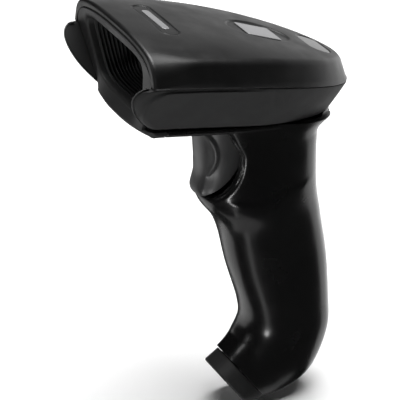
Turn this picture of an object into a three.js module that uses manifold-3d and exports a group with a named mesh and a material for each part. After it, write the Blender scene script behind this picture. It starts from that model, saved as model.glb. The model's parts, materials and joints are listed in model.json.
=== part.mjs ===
// Handheld barcode scanner: a linear imager with a pistol grip.
// Units are millimetres. +Z is up, the nose looks towards -Y, and X = 0 is the plane of symmetry.
import * as THREE from 'three';
import { mergeVertices } from 'three/addons/utils/BufferGeometryUtils.js';
import Module from 'manifold-3d';

const wasm = await Module();
wasm.setup();

// ---- Driving dimensions ----

const wall = 2.2;             // moulded shell thickness
const gap = 0.3;              // clearance between pieces that touch
const bumperThickness = 3.2;
const outlineSteps = 24;      // facets round the head's D-shaped outline
const ringSteps = 24;         // facets round the grip

// The parting line between top cover and bumper falls and bends from nose to tail.
const seamHeight = 146.7;
const seamSlope = 0.27;
const seamSag = 0.0015;
const headPitch = Math.atan(seamSlope);

// The head's D-shaped outlines: half width and front at the nose, rear at the tail,
// fullness of the sides, and rise over the parting line at nose and tail.
const seamLevel = { halfWidth: 32, front: -38, rear: 49.5, fullness: 2.5, rise: 0, tailRise: 0 };
const creaseLevel = { halfWidth: 29.6, front: -38, rear: 46.8, fullness: 2.15, rise: 8.8, tailRise: 7.8 };
const footLevel = { halfWidth: 21, front: -34.5, rear: 43.5, fullness: 3.2, rise: -19.5, tailRise: -11.5 };
const crownHeight = 3.8;
const crownPower = 3;
const footBend = 2.6;         // how late the bumper's foot climbs towards the tail
const rimBand = 1.8;          // housing edge that shows below the bumper
const bezelLip = 6;           // how far the bezel reaches round the opening at its foot
const lipSpread = 18.75;      // how fast the lip widens from front to back
const lipBow = { reach: 3.2, halfWidth: 21, top: 138.6, fall: 6, depth: 6, facet: 2.5 };
const earReach = 6.6;         // how far the bumper stands in front of the nose
const earCrest = 0.3;         // where, from the parting line to the foot, it stands out most
const earFall = 14;           // how fast its front edge falls back below the crest
const earCorner = { share: 0.3, radius: 5.2 };

// The nose face leans forward at the top.
const noseFace = { y: -38.4, z: 162, rake: THREE.MathUtils.degToRad(6.5) };
const bezelDepth = 6.5;

// The light path: rounded trapezoids at the mouth and at the exit window.
const mouth = { y: -37, z: 150.2, halfWidth: 19.5, halfHeight: 11.8, taper: 0.2 };
const throat = { y: -9.5, z: 146.4, halfWidth: 16, halfHeight: 6.4, taper: 0.05 };
const baffleFront = 0.25;      // share of the way from mouth to throat where the ribs begin
const baffleRibs = 6;
const ribDepth = 0.1;         // share of the section that a rib closes
const baffleWall = 1.5;
const pathSquareness = 0.4;   // 1 is an ellipse, 0 a sharp trapezoid

// Grip stations from the head down to the cable end: centre, tilt of the section,
// half depth, half width and squareness.
const gripStations = [
  { y: 17.5, z: 124.5, tilt: 12, depth: 25.5, width: 18.4, square: 2.4 },
  { y: 15.7, z: 118.5, tilt: 7, depth: 22.6, width: 17.4, square: 2.4 },
  { y: 15.3, z: 111, tilt: 0, depth: 22.2, width: 16.8, square: 2.4 },
  { y: 16, z: 93, tilt: 0, depth: 22.2, width: 16.3, square: 2.3 },
  { y: 20.6, z: 81, tilt: 0, depth: 19.6, width: 15.4, square: 2.2 },
  { y: 24.7, z: 61.4, tilt: 0, depth: 18.9, width: 15, square: 2.2 },
  { y: 27.9, z: 44, tilt: 2, depth: 17.2, width: 14.6, square: 2.2 },
  { y: 28.2, z: 33, tilt: 12, depth: 17.3, width: 14.4, square: 2.2 },
  { y: 23.4, z: 22.2, tilt: 32, depth: 17.3, width: 13.6, square: 2.3 },
  { y: 16.8, z: 17.5, tilt: 48, depth: 15.2, width: 12, square: 2.4 },
  { y: 10.8, z: 15.45, tilt: 55, depth: 12.7, width: 10.7, square: 2.6 },
];
const stationSteps = 3;       // sections between two stations

// The cable end: a collar that plugs into the grip and holds the socket.
const cableEnd = { y: 4.3, z: 12.7, tilt: 55, length: 7 };
const collar = { depth: 10.3, width: 9.8, square: 2.8, spigot: 8, spigotInset: 2.2, heel: 3.4 };
const socket = {
  width: 13.6, height: 11, length: 13, face: 0.6, mouthWidth: 11.7, mouthHeight: 7, mouthDepth: 10,
  latch: { width: 4, height: 3 },
};

// The trigger: sections of its moulded body and the round cut-out that it sits in.
const triggerPivot = { y: 1.5, z: 121.4, pinRadius: 1.25, pinHole: 1.55, pinHalfLength: 12.9 };
const triggerCutOut = { y: -17.1, z: 111.5, radius: 20 };
const triggerBack = { y: -17.1, z: 117, radius: 23 };
const triggerCentreY = 12;
const triggerStations = [
  { z: 123.6, front: -8.2, width: 11.6 },
  { z: 112, front: -7.4, width: 11.4 },
  { z: 104, front: -7.2, width: 11 },
  { z: 97.5, front: -8.8, width: 10.6 },
  { z: 94.5, front: -7.6, width: 10.2 },
];
const triggerTravel = 4;      // degrees
const triggerRoom = 0.5;
const triggerRoof = 3.4;      // height of the wall that closes the housing above the trigger
const triggerWall = 2;
const triggerSquare = 2.6;
const triggerRib = { width: 3, length: 13, height: 3 };
const springSlot = { width: 7, depth: 20, height: 8, y: 8 };
const spring = { turns: 3, radius: 2.2, wire: 0.6, width: 3.6, leg: 0.12, legLength: 5 };

// The switch that the trigger's rib presses, on a board that leans with the grip.
const gripLean = THREE.MathUtils.degToRad(8.9);
const handleBoard = { y: 16.5, z: 79, width: 17, thickness: 1.6, length: 58 };
const tactSwitch = { contactY: 3.6, front: 7, z: 100, size: 6.2, depth: 4.4, floor: 0.8 };
const plunger = { radius: 1.3, length: 4.4 };

// The imaging engine, in the head's frame: Y runs back along the head's pitch and Z is square
// to it. The optical axis is at axisZ and the chassis stands between floorZ and boardZ.
const axisZ = -3.6;
const floorZ = -13.4;
const boardZ = 1.4;
const exitWindow = { width: 36, height: 15.6, thickness: 1.3, y: -7.05, frame: 2, gasket: 0.9 };
const leds = { count: 4, pitch: 8, size: 2.8, y: -3.6, z: -9.4 };
const chassis = { width: 22, front: -1.2, length: 24, wall: 1.6, post: 2, screwHole: 0.9 };
const barrel = { radius: 3.8, bore: 2.9, length: 9, y: 8.5 };
const sensor = { y: 17.2, width: 14, height: 9 };
const chassisPostY = chassis.front + chassis.length - chassis.post;
const mainBoard = { width: 22.6, front: -5, length: 38, thickness: 1.4 };

// Plates let into the crown: size, corner radius, place along the crown and depth of the recess.
const nameplate = { width: 27, depth: 6.6, radius: 3.2, y: -22.5, sink: 0.9 };
const badge = { width: 11, depth: 13, radius: 1.5, y: 16, sink: 0.9 };
const statusLens = { width: 15, depth: 9, radius: 4.4, y: 38.5, sink: 1.3 };

// Screws that come up through the housing into the top cover.
const coverScrewPlaces = [{ x: -14.2, y: 2 }, { x: 14.2, y: 2 }];
const coverScrew = { seat: -18, length: 24.5, shank: 1, head: 2.1, headHeight: 1.4 };
const boardScrew = { length: 5, shank: 0.7, head: 1.6, headHeight: 0.9 };

const soundSlots = { xs: [-7, -4, 4, 7], y: 38.6, z: 117.4, width: 0.9, length: 12, height: 1.6, tilt: 38 };

// Internal wiring in the plane X = 0, as lists of [y, z].
const ribbonRoute = [[27.6, 140.1], [27.6, 130], [25, 120], [17.5, 112.5], [14.4, 106.5], [14.6, 101]];
const ribbon = { width: 10, thickness: 0.4 };
const harnessRoute = [[16, 20.9], [20.5, 24.5], [24.6, 32], [24.6, 42], [23, 50]];
const harnessRadius = 1.6;
const pipeOutline = [
  [33.2, 139.9], [37.4, 137.8], [39.6, 137.8], [39.6, 140.4], [37.4, 140.7], [37.4, 139.8], [33.2, 141.4],
];
const pipeWidth = 3;

// ---- Geometry helpers ----

function shapeSteps(count, last) {
  return Array.from({ length: count + 1 }, (_, i) => (last * i) / count);
}

function toSolid(geometry) {
  const plain = geometry.clone();
  plain.deleteAttribute('normal');
  plain.deleteAttribute('uv');
  const merged = mergeVertices(plain, 1e-4);
  return new wasm.Manifold(new wasm.Mesh({
    numProp: 3,
    vertProperties: new Float32Array(merged.attributes.position.array),
    triVerts: new Uint32Array(merged.index.array),
  }));
}

function toGeometry(solid) {
  const mesh = solid.getMesh();
  const geometry = new THREE.BufferGeometry();
  geometry.setAttribute('position', new THREE.BufferAttribute(mesh.vertProperties, 3));
  geometry.setIndex(new THREE.BufferAttribute(mesh.triVerts, 1));
  return geometry;
}

// Builds a closed solid from triangles given as lists of three points, turned to face outwards.
function solidFromTriangles(triangles) {
  const sideOf = ([a, b, c]) => a.dot(new THREE.Vector3().crossVectors(b, c));
  const volume = triangles.reduce((sum, triangle) => sum + sideOf(triangle), 0);
  const points = triangles.flatMap(([a, b, c]) => (volume > 0 ? [a, b, c] : [a, c, b]));
  const geometry = mergeVertices(new THREE.BufferGeometry().setFromPoints(points), 1e-4);
  const kept = [];
  for (let i = 0; i < geometry.index.count; i += 3) {
    const [a, b, c] = [0, 1, 2].map((k) => geometry.index.getX(i + k));
    if (a !== b && b !== c && c !== a) {
      kept.push(a, b, c);
    }
  }
  geometry.setIndex(kept);
  return toSolid(geometry);
}

function quad(a, b, c, d) {
  return [[a, b, c], [a, c, d]];
}

// Closes a stack of rings, each with the same number of points, into a solid.
function loft(rings) {
  const triangles = [];
  const count = rings[0].length;
  for (let r = 0; r + 1 < rings.length; r += 1) {
    for (let i = 0; i < count; i += 1) {
      const next = (i + 1) % count;
      triangles.push(...quad(rings[r][i], rings[r][next], rings[r + 1][next], rings[r + 1][i]));
    }
  }
  for (const [ring, flip] of [[rings[0], true], [rings[rings.length - 1], false]]) {
    const centre = ring.reduce((sum, p) => sum.add(p), new THREE.Vector3()).divideScalar(count);
    for (let i = 0; i < count; i += 1) {
      const [a, b] = [ring[i], ring[(i + 1) % count]];
      triangles.push(flip ? [centre, b, a] : [centre, a, b]);
    }
  }
  return solidFromTriangles(triangles);
}

function box(width, depth, height, x = 0, y = 0, z = 0) {
  return toSolid(new THREE.BoxGeometry(width, depth, height).translate(x, y, z));
}

// A cylinder along X, Y or Z.
function rod(radius, length, axis, x = 0, y = 0, z = 0, sides = 20) {
  const geometry = new THREE.CylinderGeometry(radius, radius, length, sides);
  if (axis === 'x') {
    geometry.rotateZ(Math.PI / 2);
  } else if (axis === 'z') {
    geometry.rotateX(Math.PI / 2);
  }
  return toSolid(geometry.translate(x, y, z));
}

// A solid swept along a smooth route of [y, z] points in the plane X = 0.
function sweep(route, shape, steps) {
  const curve = new THREE.CatmullRomCurve3(route.map(([y, z]) => new THREE.Vector3(0, y, z)));
  const options = { steps, curveSegments: 4, bevelEnabled: false, extrudePath: curve };
  return toSolid(new THREE.ExtrudeGeometry(shape, options));
}

// A plate with round ends or corners, lying in XY, from z = 0 up to its thickness.
function roundedPlate(width, depth, thickness, radius, arcSteps = 5) {
  const [x, y] = [width / 2 - radius, depth / 2 - radius];
  const shape = new THREE.Shape();
  shape.absarc(x, y, radius, 0, Math.PI / 2);
  shape.absarc(-x, y, radius, Math.PI / 2, Math.PI);
  shape.absarc(-x, -y, radius, Math.PI, 1.5 * Math.PI);
  shape.absarc(x, -y, radius, 1.5 * Math.PI, 2 * Math.PI);
  const options = { depth: thickness, bevelEnabled: false, curveSegments: arcSteps };
  return toSolid(new THREE.ExtrudeGeometry(shape, options));
}

// Turns a solid about X, then moves it.
function place(solid, turn, x, y, z) {
  return solid.rotate([THREE.MathUtils.radToDeg(turn), 0, 0]).translate([x, y, z]);
}

// ---- The head's surface ----

function seamZ(y) {
  return seamHeight - seamSlope * y - seamSag * y * y;
}

function mixLevels(a, b, share) {
  const mix = (key) => THREE.MathUtils.lerp(a[key], b[key], share);
  return {
    halfWidth: mix('halfWidth'), front: mix('front'), rear: mix('rear'),
    fullness: mix('fullness'), rise: mix('rise'), tailRise: mix('tailRise'),
  };
}

// The points of one level from the near side of the nose, round the tail, to the far side.
// inset shrinks it, lift raises it, reach carries its sides on straight to a given y,
// and narrow scales its width, down to 0 for a line along the middle.
function levelRow(level, { inset = 0, lift = 0, reach = level.front, narrow = 1, dome = 0 } = {}) {
  const halfWidth = level.halfWidth - inset;
  const length = level.rear - inset - level.front;
  const pointAt = (side, y) => {
    const share = THREE.MathUtils.clamp((y - level.front) / length, 0, 1);
    const climb = (level.tailRise - level.rise) * share ** footBend;
    const crown = dome * (1 - share ** 1.6) * (1 - narrow ** crownPower);
    return new THREE.Vector3(halfWidth * narrow * side, y, seamZ(y) + level.rise + climb + lift + crown);
  };
  const points = shapeSteps(outlineSteps, Math.PI).map((angle) => {
    const side = Math.cos(angle);
    return pointAt(side, level.front + length * Math.abs(Math.sin(angle)) ** (2 / level.fullness));
  });
  if (reach < level.front) {
    points.unshift(pointAt(1, reach));
    points.push(pointAt(-1, reach));
  } else {
    points.unshift(points[0].clone());
    points.push(points[points.length - 1].clone());
  }
  return points;
}

// Closes rows of the head, from the bottom's middle line to the top's, and the flat front
// between their near and far ends.
function headSolid(rows) {
  const triangles = [];
  for (let r = 0; r + 1 < rows.length; r += 1) {
    const [low, high] = [rows[r], rows[r + 1]];
    const last = low.length - 1;
    for (let i = 0; i < last; i += 1) {
      triangles.push(...quad(low[i], low[i + 1], high[i + 1], high[i]));
    }
    triangles.push(...quad(low[last], low[0], high[0], high[last]));
  }
  return solidFromTriangles(triangles);
}

function crownRows(options, shares = [0.985, 0.93, 0.8, 0.55, 0]) {
  return shares.map((narrow) => levelRow(creaseLevel, { ...options, narrow, dome: crownHeight }));
}

// Everything above the parting line, inside a given inset of the outer surface.
function upperHead(inset, floor, reach) {
  const options = { inset, reach };
  return headSolid([
    levelRow(seamLevel, { ...options, lift: floor, narrow: 0 }),
    levelRow(seamLevel, { ...options, lift: floor }),
    levelRow(seamLevel, { ...options, lift: Math.max(floor, 0) + 0.05 }),
    levelRow(mixLevels(seamLevel, creaseLevel, 0.85), { ...options, lift: -inset }),
    ...crownRows({ ...options, lift: -inset }),
  ]);
}

// Everything between the bumper's foot and the parting line. The floor stands over the foot
// and the ceiling over the parting line; beyond either the sides carry on straight.
function lowerHead(inset, floor, ceiling, reach) {
  const options = { inset, reach };
  const rows = [1, 0.66, 0.33, 0].map((share) => levelRow(mixLevels(seamLevel, footLevel, share), {
    ...options, lift: THREE.MathUtils.lerp(Math.min(ceiling, 0), Math.max(floor, 0), share),
  }));
  if (floor < 0) {
    rows.unshift(levelRow(footLevel, { ...options, lift: floor }));
  }
  if (ceiling > 0) {
    rows.push(levelRow(seamLevel, { ...options, lift: ceiling }));
  }
  return headSolid([
    levelRow(footLevel, { ...options, lift: floor, narrow: 0 }),
    ...rows,
    levelRow(seamLevel, { ...options, lift: ceiling, narrow: 0 }),
  ]);
}

// ---- The grip's surface ----

function sectionRing(station, inset = 0) {
  const tilt = THREE.MathUtils.degToRad(station.tilt);
  const bend = (value) => Math.sign(value) * Math.abs(value) ** (2 / station.square);
  return Array.from({ length: ringSteps }, (_, i) => {
    const angle = (2 * Math.PI * i) / ringSteps;
    const along = (station.depth - inset) * bend(Math.cos(angle));
    const across = (station.width - inset) * bend(Math.sin(angle));
    return new THREE.Vector3(across, station.y + along * Math.cos(tilt), station.z - along * Math.sin(tilt));
  });
}

// A smooth curve through the stations, value by value.
function smoothStations(stations) {
  const keys = Object.keys(stations[0]);
  const at = (i, key) => {
    const last = stations.length - 1;
    if (i < 0) return 2 * stations[0][key] - stations[1][key];
    if (i > last) return 2 * stations[last][key] - stations[last - 1][key];
    return stations[i][key];
  };
  const blend = (i, t, key) => {
    const [a, b, c, d] = [-1, 0, 1, 2].map((k) => at(i + k, key));
    const slope = (c - a) * t + (2 * a - 5 * b + 4 * c - d) * t ** 2 + (3 * b - a - 3 * c + d) * t ** 3;
    return b + slope / 2;
  };
  const smooth = [];
  for (let i = 0; i + 1 < stations.length; i += 1) {
    for (let step = 0; step < stationSteps; step += 1) {
      smooth.push(Object.fromEntries(keys.map((key) => [key, blend(i, step / stationSteps, key)])));
    }
  }
  smooth.push(stations[stations.length - 1]);
  return smooth;
}

function gripSolid(inset, reach = 0) {
  const stations = smoothStations(gripStations);
  const rings = stations.map((station) => sectionRing(station, inset));
  if (reach > 0) {
    const first = stations[0];
    const last = stations[stations.length - 1];
    const tilt = THREE.MathUtils.degToRad(last.tilt);
    rings.unshift(sectionRing({ ...first, z: first.z + reach }, inset));
    const [endY, endZ] = [last.y - reach * Math.sin(tilt), last.z - reach * Math.cos(tilt)];
    rings.push(sectionRing({ ...last, y: endY, z: endZ }, inset));
  }
  return loft(rings);
}

// ---- Materials ----

function material(color, roughness, metalness = 0) {
  return new THREE.MeshStandardMaterial({ color, roughness, metalness });
}

const satinPlastic = material(0x262626, 0.5);
const glossPlastic = material(0x141414, 0.25);
const mattePlastic = material(0x1c1c1c, 0.7);
const rubber = material(0x2b2b2b, 0.85);
const badgeMetal = material(0x8c8c8c, 0.35, 0.8);
const clearRed = material(0x5a1210, 0.1);
const clearLens = material(0xbfc8cc, 0.05);
const boardGreen = material(0x14522d, 0.5);
const chipBlack = material(0x202022, 0.45);
const steel = material(0xa8abae, 0.3, 1);
const ledYellow = material(0xd9c25a, 0.3);
const flexAmber = material(0xb5742a, 0.4);

// ---- Light path ----

// One rounded trapezoid between the mouth (share 0) and the throat (share 1). It turns from
// the rake of the nose face to square with the head as the ribs go back.
function pathRing(share, { grow = 0, scale = 1 } = {}) {
  const mix = (key) => THREE.MathUtils.lerp(mouth[key], throat[key], share);
  const turned = THREE.MathUtils.clamp((share - baffleFront) / (1 - baffleFront), 0, 1);
  const tilt = THREE.MathUtils.lerp(-noseFace.rake, headPitch, turned);
  const corner = (value) => Math.sign(value) * Math.abs(value) ** pathSquareness;
  const [halfWidth, halfHeight] = [mix('halfWidth') * scale + grow, mix('halfHeight') * scale + grow];
  return Array.from({ length: ringSteps }, (_, i) => {
    const angle = (2 * Math.PI * (i + 0.5)) / ringSteps;
    const up = corner(Math.sin(angle));
    const out = corner(Math.cos(angle)) * (1 + mix('taper') * up);
    const rise = halfHeight * up;
    const [y, z] = [mix('y') + rise * Math.sin(tilt), mix('z') + rise * Math.cos(tilt)];
    return new THREE.Vector3(halfWidth * out, y, z);
  });
}

function lightBaffle() {
  const pitch = (1 - baffleFront) / baffleRibs;
  const rings = [pathRing(baffleFront - 0.05)];
  for (let rib = 0; rib < baffleRibs; rib += 1) {
    const start = baffleFront + rib * pitch;
    rings.push(pathRing(start), pathRing(start + 0.62 * pitch));
    rings.push(pathRing(start + 0.72 * pitch, { scale: 1 - ribDepth }));
    rings.push(pathRing(start + 0.98 * pitch, { scale: 1 - ribDepth }));
  }
  rings.push(pathRing(1.05, { scale: 1 - ribDepth }));
  const skin = loft([pathRing(baffleFront, { grow: baffleWall }), pathRing(1, { grow: baffleWall })]);
  return skin.subtract(loft(rings));
}

// Everything between two depths behind the plane of the nose face.
function noseSlab(front, back) {
  const slab = box(90, back - front, 80, 0, (back + front) / 2, 0);
  return place(slab, noseFace.rake, 0, noseFace.y, noseFace.z);
}

// Carries the foot of the nose forward in the middle, so that the lip is bowed in plan and its
// face slopes forward from the opening's edge.
function bowLip(bezel) {
  const { smoothstep } = THREE.MathUtils;
  return bezel.refineToLength(lipBow.facet).warp((point) => {
    const [x, y, z] = point;
    const behind = y - noseFace.y + (z - noseFace.z) * Math.tan(noseFace.rake);
    const across = 1 - Math.min(Math.abs(x) / lipBow.halfWidth, 1) ** 2.5;
    const below = smoothstep(lipBow.top - z, 0, lipBow.fall);
    point[1] -= lipBow.reach * across * below * (1 - smoothstep(behind, 0, lipBow.depth));
  });
}

// The frame of the nose. Its foot is a lip with round corners that closes the housing's edge.
function noseBezel() {
  const around = loft([-0.3, 0.5].map((share) => pathRing(share, { grow: bezelLip + lipSpread * share })));
  return bowLip(lowerHead(bumperThickness + 2 * gap, -gap - 0.5, 1, -60)
    .add(upperHead(wall + gap, gap / 2, -60))
    .add(housingRim().intersect(around))
    .intersect(noseSlab(0, bezelDepth))
    .subtract(loft([pathRing(-0.3), pathRing(0.5)])));
}

// ---- Shells ----

// Height of the crown's middle line and its slope at a given y.
function crownAt(y) {
  const share = (y - creaseLevel.front) / (creaseLevel.rear - creaseLevel.front);
  const climb = (creaseLevel.tailRise - creaseLevel.rise) * share ** footBend;
  return seamZ(y) + creaseLevel.rise + climb + crownHeight * (1 - share ** 1.6);
}

function crownSlope(y) {
  return Math.atan(crownAt(y + 0.5) - crownAt(y - 0.5));
}

function crownPlate(plate, grow, sink, thickness) {
  const shape = roundedPlate(plate.width + 2 * grow, plate.depth + 2 * grow, thickness, plate.radius + grow);
  return place(shape, crownSlope(plate.y), 0, plate.y, crownAt(plate.y) - sink);
}

function topCover() {
  let cover = upperHead(0, gap / 2, -38).subtract(upperHead(wall, -4, -60));
  for (const plate of [nameplate, badge, statusLens]) {
    cover = cover.subtract(crownPlate(plate, gap, plate.sink + gap, 10));
  }
  const pipeSlot = box(pipeWidth + 2 * gap, 2.8, 12, 0, statusLens.y, crownAt(statusLens.y) - 6);
  cover = cover.subtract(pipeSlot);
  for (const { x, y } of coverScrewPlaces) {
    const height = 8.5;
    const boss = rod(2.4, height, 'z', x, y, seamZ(y) + 1 + height / 2, 16);
    const hole = rod(coverScrew.shank + gap, height - 2, 'z', x, y, seamZ(y) + height / 2 - 1, 12);
    cover = cover.add(boss.intersect(upperHead(wall / 2, -4, -60))).subtract(hole);
  }
  return cover;
}

// The bumper's front edge: it stands forward of the nose below a round top corner, and curves
// back to the nose at its foot.
function earFront(share) {
  const corner = THREE.MathUtils.clamp(1 - share / earCorner.share, 0, 1);
  const topRound = earCorner.radius * (1 - Math.sqrt(1 - corner ** 2));
  const reach = earReach - earFall * Math.max(share - earCrest, 0) ** 2 - topRound;
  return THREE.MathUtils.lerp(seamLevel.front, footLevel.front, share) - reach;
}

function sideBumper() {
  const shares = [1, 0.87, 0.7, 0.5, earCrest, 0.2, 0.12, 0.06, 0.02, 0];
  const rows = shares.map((share) => {
    const level = mixLevels(seamLevel, footLevel, share);
    return levelRow(level, { reach: earFront(share), lift: -gap / 2 * (1 - share) });
  });
  const outer = headSolid([
    levelRow(footLevel, { reach: earFront(1), narrow: 0 }),
    ...rows,
    levelRow(seamLevel, { reach: earFront(0), lift: -gap / 2, narrow: 0 }),
  ]);
  return outer.subtract(lowerHead(bumperThickness, -6, 6, -70));
}

// The thin edge of the housing that shows all round below the bumper.
function housingRim() {
  const rows = [[3, 1.6], [0.8, 0], [0, -0.4 * rimBand], [0, -rimBand]];
  const row = ([inset, drop], narrow = 1) => {
    return levelRow(footLevel, { inset, narrow, lift: -gap - rimBand - drop });
  };
  return headSolid([row(rows[0], 0), ...rows.map((each) => row(each)), row(rows[rows.length - 1], 0)]);
}

function handleHousing() {
  const inset = bumperThickness + gap;
  const pan = housingRim().add(lowerHead(inset, -1, -gap / 2, seamLevel.front));
  const cutOut = rod(triggerCutOut.radius, 60, 'x', 0, triggerCutOut.y, triggerCutOut.z, 64);
  const grip = gripSolid(0).subtract(lowerHead(0, -gap, 10, -60)).subtract(cutOut);
  const roof = rod(triggerCutOut.radius + wall, 60, 'x', 0, triggerCutOut.y, triggerCutOut.z, 64)
    .intersect(box(60, 60, 8, 0, triggerCutOut.y, triggerPivot.z + triggerRoof + 4));
  const { y, z, pinHole, pinHalfLength } = triggerPivot;
  let housing = pan.add(grip)
    .subtract(lowerHead(inset + wall, 0.6, 8, -60))
    .subtract(noseSlab(-60, bezelDepth + gap))
    .subtract(gripSolid(wall, 3).subtract(roof))
    .subtract(pulled(triggerForm(-triggerRoom), triggerTravel))
    .subtract(rod(pinHole, 2 * (pinHalfLength + gap), 'x', 0, y, z, 16));
  for (const place of coverScrewPlaces) {
    housing = addScrewPost(housing, place);
  }
  const { width, length, height, tilt } = soundSlots;
  for (const x of soundSlots.xs) {
    const slot = box(width, length, height).rotate([tilt, 0, 0]).translate([x, soundSlots.y, soundSlots.z]);
    housing = housing.subtract(slot);
  }
  return housing;
}

// A post for one cover screw, with a deep counterbore from below for its head.
function addScrewPost(housing, { x, y }) {
  const seam = seamZ(y);
  const post = rod(2.6, 20.3, 'z', x, y, seam - 10.8, 16)
    .intersect(lowerHead(bumperThickness + 2 * gap, -1, 0, -60));
  return housing.add(post)
    .subtract(rod(coverScrew.shank + gap, 40, 'z', x, y, seam - 11, 12))
    .subtract(rod(coverScrew.head + gap, 8, 'z', x, y, seam + coverScrew.seat - 4, 16));
}

// ---- Trigger and its switch ----

function triggerRing(station, inset) {
  const depth = triggerCentreY - station.front - inset;
  const bend = (value) => Math.sign(value) * Math.abs(value) ** (2 / triggerSquare);
  return Array.from({ length: ringSteps }, (_, i) => {
    const angle = (2 * Math.PI * i) / ringSteps;
    const x = (station.width - inset) * bend(Math.sin(angle));
    return new THREE.Vector3(x, triggerCentreY + depth * bend(Math.cos(angle)), station.z);
  });
}

// The trigger's outer form, shrunk by an inset.
function triggerForm(inset) {
  const { y, z, radius } = triggerBack;
  const backDisc = rod(radius - inset, 60, 'x', 0, y, z, 64);
  const rings = smoothStations(triggerStations).map((station) => triggerRing(station, inset));
  return loft(rings).intersect(backDisc);
}

// Turns a solid about the trigger's pin, as a finger pulls it.
function pulled(solid, degrees) {
  const { y, z } = triggerPivot;
  return solid.translate([0, -y, -z]).rotate([degrees, 0, 0]).translate([0, y, z]);
}

// A hollow finger lever with a round back, a rib that meets the switch, and a slot for the spring.
function trigger() {
  const { y, z } = triggerPivot;
  const stations = smoothStations(triggerStations);
  const hollow = loft(stations.map((station) => triggerRing(station, triggerWall)));
  const hollowFloor = stations[stations.length - 1].z + 3;
  const hollowTop = z - 3.5;
  const hollowBand = box(60, 60, hollowTop - hollowFloor, 0, 0, (hollowTop + hollowFloor) / 2);
  const ribY = tactSwitch.contactY - triggerRib.length / 2;
  return triggerForm(0)
    .subtract(hollow.intersect(hollowBand))
    .add(box(triggerRib.width, triggerRib.length, triggerRib.height, 0, ribY, tactSwitch.z))
    .subtract(rod(triggerPivot.pinRadius + gap, 60, 'x', 0, y, z, 16))
    .subtract(box(springSlot.width, springSlot.depth, springSlot.height, 0, springSlot.y, z));
}

function triggerPin() {
  const { y, z, pinRadius, pinHalfLength } = triggerPivot;
  return rod(pinRadius, 2 * pinHalfLength, 'x', 0, y, z, 16);
}

// A torsion spring round the hinge pin, with a straight leg at each end.
class SpringPath extends THREE.Curve {
  getPoint(t) {
    const { turns, radius, width, leg } = spring;
    const angle = 2 * Math.PI * turns * THREE.MathUtils.clamp((t - leg) / (1 - 2 * leg), 0, 1);
    const x = width * (angle / (2 * Math.PI * turns) - 0.5);
    const tail = (Math.max(0, leg - t) - Math.max(0, t - (1 - leg))) * spring.legLength / leg;
    const run = new THREE.Vector3(0, -Math.sin(angle), Math.cos(angle)).multiplyScalar(-tail);
    return new THREE.Vector3(x, radius * Math.cos(angle), radius * Math.sin(angle)).add(run);
  }
}

function triggerSpring() {
  const shape = new THREE.Shape().absarc(0, 0, spring.wire / 2, 0, 2 * Math.PI);
  const options = { steps: 60, curveSegments: 3, bevelEnabled: false, extrudePath: new SpringPath() };
  return toSolid(new THREE.ExtrudeGeometry(shape, options)).translate([0, triggerPivot.y, triggerPivot.z]);
}

function triggerSwitch() {
  const { front, z, size, depth, floor } = tactSwitch;
  return box(size, depth, size, 0, front + depth / 2, z)
    .subtract(rod(plunger.radius + gap, 2 * (depth - floor), 'y', 0, front, z, 16));
}

function switchPlunger() {
  const y = tactSwitch.contactY + gap + plunger.length / 2;
  return rod(plunger.radius, plunger.length, 'y', 0, y, tactSwitch.z, 16);
}

// ---- Imaging engine, in the head's frame ----

function windowGasket() {
  const { width, height, frame, gasket, y, thickness } = exitWindow;
  const gasketY = y - (thickness + gasket) / 2 - gap;
  return box(width, gasket, height, 0, gasketY, axisZ)
    .subtract(box(width - 2 * frame, 2 * gasket, height - 2 * frame, 0, gasketY, axisZ));
}

// A half-round bar that spreads the light of the LEDs into a line.
function ledLensBar() {
  const y = leds.y - 0.7;
  const radius = 1.3;
  return rod(radius, 32, 'x', 0, y, leds.z, 20)
    .intersect(box(40, radius, 2 * radius, 0, y - radius / 2, leds.z));
}

function chassisPost(side) {
  const height = boardZ - gap - floorZ;
  const [x, y, z] = [side * (chassis.width / 2 - chassis.post), chassisPostY, floorZ + height / 2];
  return rod(chassis.post, height, 'z', x, y, z, 12);
}

function chassisPostHole(side) {
  const x = side * (chassis.width / 2 - chassis.post);
  return rod(chassis.screwHole, 2 * (boardScrew.length + 1), 'z', x, chassisPostY, boardZ, 12);
}

// An open tray with a slot for the light, a saddle for the lens barrel and two screw posts.
function opticsChassis() {
  const { width, front, length } = chassis;
  const height = boardZ - gap - floorZ;
  const middle = front + length / 2;
  const inside = box(width - 2 * chassis.wall, length - 2 * chassis.wall, height,
    0, middle, floorZ + chassis.wall + height / 2);
  const saddle = box(9.6, 6, axisZ - floorZ, 0, barrel.y, (axisZ + floorZ) / 2)
    .subtract(rod(barrel.radius + gap, 30, 'y', 0, barrel.y, axisZ));
  let tray = box(width, length, height, 0, middle, floorZ + height / 2)
    .subtract(inside)
    .subtract(box(15, 4 * chassis.wall, 6.4, 0, front, axisZ))
    .add(saddle);
  for (const side of [-1, 1]) {
    tray = tray.add(chassisPost(side)).subtract(chassisPostHole(side));
  }
  return tray;
}

function lensBarrel() {
  const { radius, bore, length, y } = barrel;
  return rod(radius, length, 'y', 0, y, axisZ).subtract(rod(bore, 2 * length, 'y', 0, y, axisZ));
}

function mainBoardPlate() {
  const { width, front, length, thickness } = mainBoard;
  const plate = box(width, length, thickness, 0, front + length / 2, boardZ + thickness / 2);
  const hole = (side) => {
    const x = side * (chassis.width / 2 - chassis.post);
    return rod(boardScrew.shank + 2 * gap, 10, 'z', x, chassisPostY, boardZ, 12);
  };
  return plate.subtract(hole(-1)).subtract(hole(1));
}

function boardScrewBody(side) {
  const { shank, head, headHeight, length } = boardScrew;
  const x = side * (chassis.width / 2 - chassis.post);
  const top = boardZ + mainBoard.thickness + headHeight + gap;
  return screw(shank, head, headHeight, length).rotate([180, 0, 0]).translate([x, chassisPostY, top]);
}

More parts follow.
